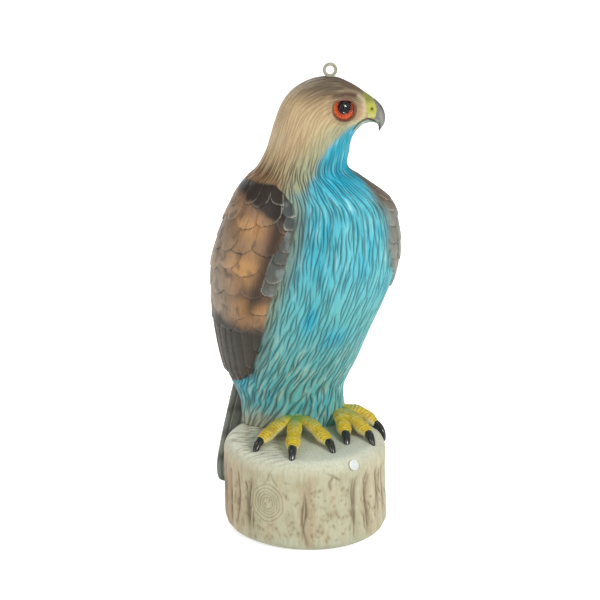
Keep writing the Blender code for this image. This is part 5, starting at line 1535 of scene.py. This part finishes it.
@dataclass(frozen=True)
class HangingRing:
    """The ring on the crown, with a neck that flares into the head."""

    bore: float = 3.5 * MM
    outer: float = 6.2 * MM
    half_thickness: float = 1.5 * MM
    neck: float = 6 * MM
    foot: float = 15 * MM
    rise: float = 5.6 * MM
    sunk: float = 1.6 * MM

    def build(self, middle: Array, material: Finish) -> Piece:
        """Make the ring.

        Args:
            middle: middle of the bore.
            material: its plastic.

        Returns:
            The new piece.
        """
        soft = 0.5 * MM
        corners = ((self.outer, self.half_thickness), (self.outer, -self.half_thickness),
                   (self.bore, -self.half_thickness), (self.bore, self.half_thickness))
        profile = []
        for number, (radius, height) in enumerate(corners):
            inward = -1 if radius == self.outer else 1
            centre = (radius + inward * soft, height - math.copysign(soft, height))
            start = 0.5 * math.pi * (1 - number)
            for step in range(5):
                angle = start - 0.5 * math.pi * step / 4
                profile.append((centre[0] + soft * math.cos(angle), centre[1] + soft * math.sin(angle)))
        profile.append(profile[0])
        upright = Matrix.Translation(tuple(float(v) for v in middle)) @ Matrix.Rotation(0.5 * math.pi, 4, "X")
        hoop = lathe("hoop", profile, upright, 96)
        share = np.linspace(0, 1, 16)
        low, high = middle[2] - self.rise - self.sunk, middle[2] - 0.5 * (self.bore + self.outer)
        turns, share = np.linspace(0, TURN, 65)[None], share[:, None]
        wide = 0.5 * (self.neck + (self.foot - self.neck) * (1 - share) ** 2.2)
        across, away = (np.sign(wave) * np.abs(wave) ** 0.5 for wave in (np.cos(turns), np.sin(turns)))
        stem = stack(
            middle[0] + wide * across, middle[1] + self.half_thickness * away, low + (high - low) * share,
        )
        mesh = fused("ring_skin", [hoop, grid_mesh("stem", stem, {}, closed=True)], 0.24 * MM, 3)
        return make_object("ring_skin", mesh, material)


@dataclass(frozen=True)
class VentPlug:
    """The vent plug in the rim."""

    stump: Stump
    head: float = 5 * MM
    stem: float = 3 * MM
    stem_length: float = 7 * MM
    gap: float = 0.3 * MM
    sunk: float = 0.96 * MM

    def build(self, material: Finish) -> Piece:
        """Make the small plug with its domed head."""
        place, outward = self.stump.vent_place()
        turn = Vector((0, 0, 1)).rotation_difference(outward).to_matrix().to_4x4()
        head, stem, soft = self.head, self.stem, 0.5 * MM
        low = self.gap - self.sunk - head * head / (2 * self.stump.rim_round)
        end, side = low - self.stem_length, low + 0.8 * MM
        profile = [(0, end), (stem - 0.6 * MM, end), (stem, end + 0.6 * MM), (stem, low)]
        profile += [(head - 0.2 * MM, low), (head, low + 0.2 * MM), (head, side)]
        for step in range(1, 9):
            angle = 0.5 * math.pi * step / 8
            profile.append((head - soft + soft * math.cos(angle), side + soft * math.sin(angle)))
        profile += [(2.2 * MM, low + 1.5 * MM), (1 * MM, low + 1.6 * MM)]
        profile += [(0.55 * MM, low + 1.35 * MM), (0, low + 1.3 * MM)]
        mesh = lathe("vent_stopper", profile, Matrix.Translation(place) @ turn)
        return make_object("vent_stopper", mesh, material)


class Graph:
    """Builds the nodes of a material or a world round its shader."""

    def __init__(self, name: str, owner: bpy.types.World | None = None) -> None:
        self.material = owner or bpy.data.materials.new(name)
        self.material.use_nodes = True
        self.tree = self.material.node_tree
        self.shader = self.tree.nodes["Background" if owner else "Principled BSDF"]

    def put(self, socket: Socket, value: object) -> None:
        """Link a socket or set a plain value."""
        if isinstance(value, Socket):
            self.tree.links.new(value, socket)
        elif isinstance(value, tuple) and len(value) == 3 and socket.type == "RGBA":
            socket.default_value = (*value, 1)
        else:
            socket.default_value = value

    def set(self, **values: object) -> None:
        """Set sockets of the shader by name."""
        for name, value in values.items():
            self.put(self.shader.inputs[name.replace("_", " ")], value)

    def node(self, kind: str, output: str | int, inputs: dict, **settings: object) -> Socket:
        """Add a node.

        Args:
            kind: what it is.
            output: the output that is wanted.
            inputs: values or sockets for its inputs.
            settings: its other settings.

        Returns:
            The output.
        """
        node = self.tree.nodes.new("ShaderNode" + kind)
        for name, value in settings.items():
            setattr(node, name, value)
        for name, value in inputs.items():
            self.put(node.inputs[name], value)
        return node.outputs[output]

    def place(self) -> Socket:
        """Object coordinates."""
        return self.node("TexCoord", "Object", {})

    def layer(self, name: str, output: str = "Color") -> Socket:
        """A layer that the mesh holds."""
        return self.node("Attribute", output, {}, attribute_name=name)

    def noise(self, where: Socket, scale: float, detail: float = 3, rough: float = 0.55) -> Socket:
        """Soft noise from 0 to 1."""
        inputs = {"Vector": where, "Scale": scale, "Detail": detail, "Roughness": rough}
        return self.node("TexNoise", "Fac", inputs)

    def cells(self, where: Socket, scale: float) -> Socket:
        """Distance to the edge between cells."""
        inputs = {"Vector": where, "Scale": scale}
        return self.node("TexVoronoi", "Distance", inputs, feature="DISTANCE_TO_EDGE")

    def stretch(self, where: Socket, scale: tuple[float, float, float]) -> Socket:
        """Coordinates scaled along each axis."""
        return self.node("Mapping", "Vector", {"Vector": where, "Scale": scale})

    def span(self, value: Socket, low: float, high: float, out_low: float, out_high: float) -> Socket:
        """A value moved softly from one span to another, and held at its ends."""
        inputs = {"Value": value, "From Min": low, "From Max": high, "To Min": out_low, "To Max": out_high}
        return self.node("MapRange", "Result", inputs, interpolation_type="SMOOTHSTEP")

    def sum(self, operation: str, first: object, second: object) -> Socket:
        """Two values combined."""
        return self.node("Math", 0, {0: first, 1: second}, operation=operation)

    def vector(self, operation: str, value: Socket, output: str) -> Socket:
        """The length or the direction of a vector."""
        return self.node("VectorMath", output, {0: value}, operation=operation)

    def tint(self, share: object, base: object, colour: object, way: str = "MIX") -> Socket:
        """A colour laid over another."""
        return self.node("Mix", 2, {0: share, 6: base, 7: colour}, data_type="RGBA", blend_type=way)

    def dab(
        self, base: object, value: Socket, low: float, high: float, share: float, colour: Colour,
        way: str = "MIX",
    ) -> Socket:
        """A colour laid over another, by a share that grows as the value goes from low to high."""
        return self.tint(self.span(value, low, high, 0, share), base, colour, way)

    def seen(self, *rays: str) -> Socket:
        """One for rays of the named kinds."""
        path = self.tree.nodes.new("ShaderNodeLightPath")
        share = path.outputs[rays[0]]
        for ray in rays[1:]:
            share = self.sum("MAXIMUM", share, path.outputs[ray])
        return share

    def ramp(self, value: Socket, stops: Sequence[tuple[float, Colour]]) -> Socket:
        """A colour read from a row of stops."""
        node = self.tree.nodes.new("ShaderNodeValToRGB")
        node.color_ramp.interpolation = "EASE"
        marks = node.color_ramp.elements
        while len(marks) < len(stops):
            marks.new(1)
        for mark, (place, colour) in zip(marks, stops):
            mark.position = place
            mark.color = (*colour, 1)
        self.put(node.inputs["Fac"], value)
        return node.outputs["Color"]

    def bump(self, height: Socket, depth: float, under: Socket | None = None) -> Socket:
        """A normal that a height disturbs, with the height's full depth in metres."""
        inputs = {"Strength": 1, "Distance": depth, "Height": height}
        if under is not None:
            inputs["Normal"] = under
        return self.node("Bump", "Normal", inputs)


@dataclass(frozen=True)
class PlumagePaint:
    """Airbrushed satin paint over moulded feathers; the mesh carries the zones' colours, with their painted
    light and shade.
    """

    name: str = "plumage_paint"
    roughness: tuple[float, float] = (0.36, 0.52)
    coat: float = 0.08

    def make(self) -> Finish:
        """Make the material."""
        graph = Graph(self.name)
        where, flow = graph.place(), graph.layer("flow")
        barbs = graph.noise(graph.stretch(flow, (4.6, 1.4, 1)), 1, 3, 0.6)
        speck = graph.noise(where, 1500, 2, 0.6)
        cloud = graph.noise(where, 62, 3, 0.6)
        base = graph.dab(graph.layer("paint"), cloud, 0.35, 0.75, 0.22, (0.62, 0.6, 0.5), "SOFT_LIGHT")
        base = graph.dab(base, barbs, 0.42, 0.3, 0.3, (0.42, 0.42, 0.4), "MULTIPLY")
        base = graph.dab(base, barbs, 0.54, 0.72, 0.6, (1.6, 1.6, 1.54), "MULTIPLY")
        base = graph.dab(base, speck, 0.6, 0.75, 0.16, (0.3, 0.28, 0.26), "MULTIPLY")
        rough = graph.span(graph.noise(where, 180, 2), 0.3, 0.7, *self.roughness)
        gloss = graph.layer("gloss", "Fac")
        rough = graph.sum("SUBTRACT", rough, graph.sum("MULTIPLY", gloss, 0.14))
        normal = graph.bump(barbs, 0.34 * MM)
        normal = graph.bump(speck, 0.02 * MM, normal)
        graph.set(Base_Color=base, Roughness=rough, Normal=normal, Coat_Weight=self.coat, Coat_Roughness=0.3)
        graph.set(Specular_IOR_Level=0.24)
        return graph.material


@dataclass(frozen=True)
class BarkPaint:
    """Matt washes over a moulded log, darker in its cracks and pits."""

    name: str = "bark_wash"

    def make(self) -> Finish:
        """Make the material."""
        graph = Graph(self.name)
        where = graph.place()
        along = graph.stretch(where, (420, 420, 60))
        grain = graph.noise(along, 1, 4, 0.62)
        speck = graph.noise(where, 900, 3, 0.6)
        blot = graph.noise(where, 70, 4, 0.6)
        base = graph.dab(graph.layer("paint"), grain, 0.54, 0.38, 0.2, srgb(160, 138, 106), "MULTIPLY")
        base = graph.dab(base, blot, 0.5, 0.7, 0.16, srgb(222, 220, 200))
        base = graph.dab(base, speck, 0.62, 0.78, 0.22, srgb(132, 110, 82))
        rough = graph.span(blot, 0.3, 0.7, 0.52, 0.7)
        normal = graph.bump(grain, 0.16 * MM)
        normal = graph.bump(speck, 0.06 * MM, normal)
        graph.set(Base_Color=base, Roughness=rough, Normal=normal)
        return graph.material


@dataclass(frozen=True)
class ToePaint:
    """Yellow paint dabbed over scales, with pale edges where the brush missed."""

    name: str = "toe_paint"

    def make(self) -> Finish:
        """Make the material."""
        graph = Graph(self.name)
        where = graph.place()
        dab = graph.noise(where, 420, 3, 0.6)
        cell = graph.cells(where, 620)
        base = graph.dab(graph.layer("paint"), dab, 0.55, 0.7, 0.55, srgb(226, 198, 96))
        base = graph.dab(base, dab, 0.44, 0.3, 0.4, srgb(178, 122, 24))
        base = graph.dab(base, cell, 0.16, 0.02, 0.3, srgb(150, 112, 30), "MULTIPLY")
        normal = graph.bump(graph.span(cell, 0, 0.22, 0, 1), 0.16 * MM)
        normal = graph.bump(dab, 0.12 * MM, normal)
        graph.set(Base_Color=base, Roughness=graph.span(dab, 0.3, 0.7, 0.34, 0.5), Normal=normal)
        return graph.material


@dataclass(frozen=True)
class ClawLacquer:
    """Black gloss with faint streaks along the claw."""

    name: str = "claw_lacquer"

    def make(self) -> Finish:
        """Make the material."""
        graph = Graph(self.name)
        streak = graph.noise(graph.stretch(graph.layer("flow"), (2.2, 1.1, 1)), 1, 3, 0.6)
        stops = ((0.36, srgb(16, 16, 15)), (0.62, srgb(44, 45, 40)), (0.8, srgb(98, 98, 84)))
        graph.set(
            Base_Color=graph.ramp(streak, stops), Roughness=graph.span(streak, 0.3, 0.7, 0.2, 0.34),
            Coat_Weight=0.3, Coat_Roughness=0.12, Normal=graph.bump(streak, 0.1 * MM),
        )
        return graph.material


@dataclass(frozen=True)
class IrisPrint:
    """The printed eye: black pupil, fibres from red brown to orange, and a dark limb."""

    name: str = "iris_print"

    def make(self) -> Finish:
        """Make the material."""
        graph = Graph(self.name)
        disc = graph.layer("disc", "Vector")
        fibres = graph.noise(graph.vector("NORMALIZE", disc, "Vector"), 9, 3, 0.65)
        blot = graph.noise(disc, 3, 3, 0.6)
        length = graph.vector("LENGTH", disc, "Value")
        reach = graph.sum("ADD", length, graph.span(blot, 0.3, 0.7, -0.035, 0.035))
        base = graph.ramp(reach, (
            (0, srgb(6, 3, 3)), (0.49, srgb(10, 5, 4)), (0.55, srgb(92, 26, 10)), (0.65, srgb(176, 58, 20)),
            (0.84, srgb(202, 88, 36)), (0.96, srgb(168, 54, 20)), (1, srgb(84, 24, 12)),
        ))
        iris_share = graph.span(reach, 0.5, 0.59, 0, 1)
        dark = graph.sum("MULTIPLY", graph.span(fibres, 0.5, 0.34, 0, 0.55), iris_share)
        light = graph.sum("MULTIPLY", graph.span(fibres, 0.54, 0.7, 0, 0.45), iris_share)
        base = graph.tint(dark, base, srgb(120, 40, 20), "MULTIPLY")
        ahead = graph.node("SeparateXYZ", 0, {0: disc})
        base = graph.dab(base, ahead, 0.25, 0.85, 0.75, srgb(150, 84, 72), "MULTIPLY")
        base = graph.tint(light, base, srgb(236, 140, 84))
        rough = graph.span(fibres, 0.3, 0.7, 0.34, 0.48)
        graph.set(Base_Color=base, Roughness=rough, Specular_IOR_Level=0.06)
        return graph.material


@dataclass(frozen=True)
class PlainPlastic:
    """Moulded plastic with faint clouds, fine grain and some light that passes into it."""

    name: str
    colour: Colour
    shade: Colour
    roughness: float = 0.4
    depth: float = 0

    def make(self) -> Finish:
        """Make the material."""
        graph = Graph(self.name)
        where = graph.place()
        cloud = graph.noise(where, 160, 3, 0.6)
        speck = graph.noise(where, 1400, 2, 0.6)
        base = graph.dab(self.colour, cloud, 0.35, 0.7, 0.65, self.shade)
        base = graph.dab(base, speck, 0.6, 0.76, 0.18, self.shade, "MULTIPLY")
        rough = graph.span(cloud, 0.3, 0.7, self.roughness - 0.06, self.roughness + 0.08)
        graph.set(Base_Color=base, Roughness=rough, Normal=graph.bump(speck, 0.03 * MM))
        if self.depth:
            graph.set(Subsurface_Weight=0.35, Subsurface_Scale=self.depth)
        return graph.material


@dataclass(frozen=True)
class ClearPlastic:
    """Clear polished plastic: see-through, with reflections that grow towards its edge."""

    name: str = "clear_dome"

    def make(self) -> Finish:
        """Make the material, with the faint orange peel of moulded plastic."""
        graph = Graph(self.name)
        peel = graph.noise(graph.place(), 260, 2, 0.5)
        edge = graph.node("LayerWeight", "Facing", {})
        graph.set(
            Base_Color=(0.97, 0.97, 0.97), Metallic=1, Roughness=graph.span(peel, 0.3, 0.7, 0.03, 0.07),
            Alpha=graph.span(edge, 0.55, 1, 0.014, 0.5), Normal=graph.bump(peel, 0.004 * MM),
        )
        return graph.material


class Studio:
    """Floor, soft lamps and the camera."""

    DISTANCE = 1.15
    ELEVATION = math.radians(18)
    LENS = 78.12
    LIFT = 3.65 / 600
    LAMPS = (
        ("key_lamp", (1.05, -1.1, 1.1), 0.55, 20),
        ("fill_lamp", (-1.2, -1.05, 0.75), 0.8, 8),
        ("top_lamp", (-0.1, 0.2, 1.6), 0.9, 7),
        ("back_lamp", (-0.6, 1.3, 0.9), 1.2, 8),
    )

    def __init__(self, root: Array) -> None:
        self.aim = Vector((float(root[0]) - 4.3 * MM, float(root[1]) - 9 * MM, 210 * MM))

    def floor(self) -> None:
        """A pale floor that keeps the object's shadow."""
        shape = bmesh.new()
        bmesh.ops.create_grid(shape, x_segments=8, y_segments=8, size=14)
        mesh = bpy.data.meshes.new("studio_floor")
        shape.to_mesh(mesh)
        shape.free()
        graph = Graph("studio_floor")
        seen = graph.seen("Is Camera Ray", "Is Glossy Ray", "Is Transmission Ray")
        mottle = graph.noise(graph.place(), 3, 2)
        pale = graph.ramp(mottle, ((0.3, (0.8, 0.8, 0.8)), (0.7, (0.84, 0.84, 0.84))))
        far = graph.span(graph.vector("LENGTH", graph.place(), "Value"), 0.5, 2.5, 0.58, 1)
        glow = graph.sum("MULTIPLY", seen, far)
        graph.set(Base_Color=pale, Roughness=0.9, Emission_Color=(1, 1, 1), Emission_Strength=glow)
        piece = make_object("studio_floor", mesh, graph.material)

    def world(self) -> None:
        """White where the camera or glass looks, and a soft grey light elsewhere."""
        world = bpy.data.worlds.new("studio_world")
        bpy.context.scene.world = world
        graph = Graph("studio_world", world)
        seen = graph.seen("Is Camera Ray", "Is Transmission Ray")
        graph.set(Color=(1, 1, 1), Strength=graph.span(seen, 0, 1, 0.4, 1))

    def lamp(self, name: str, place: tuple[float, float, float], size: float, power: float) -> None:
        """A round soft lamp that points at the object."""
        light = bpy.data.lights.new(name, "AREA")
        light.shape = "DISK"
        light.size = size
        light.energy = power
        lamp = bpy.data.objects.new(name, light)
        link(lamp)
        lamp.location = place
        lamp.rotation_euler = (self.aim - Vector(place)).to_track_quat("-Z", "Y").to_euler()

    def camera(self) -> None:
        """The camera at the photograph's angle."""
        data = bpy.data.cameras.new("camera")
        data.lens = self.LENS
        data.sensor_width = 36
        data.shift_y = self.LIFT
        data.clip_start, data.clip_end = 0.01, 50
        camera = bpy.data.objects.new("camera", data)
        link(camera)
        back = Vector((0, -math.cos(self.ELEVATION), math.sin(self.ELEVATION)))
        camera.location = self.aim + back * self.DISTANCE
        camera.rotation_euler = (-back).to_track_quat("-Z", "Y").to_euler()
        bpy.context.scene.camera = camera

    def build(self) -> None:
        """Set the whole studio."""
        self.camera()
        self.floor()
        self.world()
        for lamp in self.LAMPS:
            self.lamp(*lamp)
        bpy.context.scene.view_settings.view_transform = "Standard"


@dataclass
class Decoy:
    """The whole decoy: builds each sub-assembly, puts it on its body and dresses what stays."""

    root: Array

    def settle(self, piece: Piece, slot: Slot, *nodes: str, body: str = "decoy") -> None:
        """Move a piece from the parting surface's frame to the row's, put it on its body and hide the solids
        that it stands for.

        Args:
            piece: the new piece.
            slot: the record's slot that its finish comes from; not used.
            nodes: solids that it stands for.
            body: body that it rides on.
        """
        piece.data.transform(Matrix.Translation(tuple(float(v) for v in self.root)))
        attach(piece, body)
        if nodes:
            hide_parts(*nodes)
        LOG.info("%s: %d faces on %s", piece.name, len(piece.data.polygons), body)

    def dress(self, node: str, material: Finish) -> None:
        """Give a solid that stays a better finish."""
        for material_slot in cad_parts[node].material_slots:
            material_slot.material = material
        LOG.info("%s: dressed", node)

    def build_bird(self, form: BirdForm, places: dict[Half, EyePlace]) -> None:
        """The skins of both shells, and the tail."""
        plumage, combing = PlumagePaint().make(), Combing(form, 17)
        for half in Half:
            for part in Part:
                skin = BirdSkin(form, half, places[half], part, combing).build(plumage)
                self.settle(skin, Slot[half.name], half.name.lower() + "_shell")
        self.settle(Tail().build(form, plumage), Slot.REAR, "rear_shell")

    def build_feet(self, stump: Stump) -> None:
        """Both feet and their claws."""
        toes, lacquer = ToePaint().make(), ClawLacquer().make()
        right = (("inner", 0.29, -0.42), ("middle", -0.15, -0.64), ("outer", -0.54, -0.38))
        left = (("inner", 0.5, -0.14), ("middle", 0.78, -0.14), ("outer", 0.89, 0.36))
        for foot in (Foot("right", (-0.088, 0.208), right), Foot("left", (0.361, 0.588), left)):
            self.settle(foot.build(stump, toes), Slot.FOOT, foot.side + "_foot")
            for toe in foot.toes:
                self.settle(foot.claw(stump, toe, lacquer), Slot.CLAW, f"{foot.side}_claw_{toe[0]}")

    def build_eyes(self, places: dict[Half, EyePlace]) -> None:
        """Cup, iris, dome and lid of both eyes."""
        black = PlainPlastic("eye_black", srgb(18, 17, 17), srgb(34, 32, 31), 0.3).make()
        lid = PlainPlastic("lid_paint", srgb(120, 78, 56), srgb(76, 44, 34), 0.4).make()
        iris, clear = IrisPrint().make(), ClearPlastic().make()
        for side, half in (("right", Half.FRONT), ("left", Half.REAR)):
            eye = Eye(side, places[half])
            self.settle(eye.cup(black), Slot.EYE_BLACK, side + "_eye_cup")
            self.settle(eye.iris(iris), Slot.IRIS, side + "_eye_iris")
            self.settle(eye.dome(clear), Slot.CLEAR, side + "_eye_dome")
            self.settle(eye.lid(lid), Slot[half.name])

    def build_fittings(self, stump: Stump) -> None:
        """The ring and the vent plug, and the finish of the base cover and its plug."""
        bare = PlainPlastic("bare_resin", srgb(172, 168, 146), srgb(132, 128, 106), 0.36, 1 * MM).make()
        white = PlainPlastic("white_stopper", srgb(214, 216, 210), srgb(196, 196, 190), 0.38, 1 * MM).make()
        cover = PlainPlastic("cover_resin", srgb(176, 168, 138), srgb(150, 142, 114), 0.5).make()
        ring = HangingRing()
        low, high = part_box("hanging_ring")
        middle = np.array([0.5 * (low.x + high.x), 0.5 * (low.y + high.y), high.z - ring.outer]) - self.root
        self.settle(ring.build(middle, bare), Slot.BARE, "hanging_ring")
        self.settle(VentPlug(stump).build(white), Slot.WHITE, "vent_plug", body="vent_plug")
        self.dress("filler_plug", white)
        self.dress("base_cover", cover)

    def build(self) -> None:
        """Build everything."""
        stump = Stump()
        places = {half: EyePlace.of(half, self.root) for half in Half}
        self.build_bird(BirdForm(), places)
        self.settle(stump.build(BarkPaint().make()), Slot.STUMP, "stump_shell")
        self.build_feet(stump)
        self.build_eyes(places)
        self.build_fittings(stump)


def main() -> None:
    """Build the decoy and its studio."""
    logging.basicConfig(level=logging.INFO, format="%(message)s")
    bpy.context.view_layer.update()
    cover_low, cover_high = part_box("base_cover")
    middle = 0.5 * (np.array(cover_low) + np.array(cover_high))
    root = np.array([middle[0], middle[1] - Stump().middle_y, 0])
    Studio(root).build()
    Decoy(root).build()


if __name__ == "__main__":
    main()
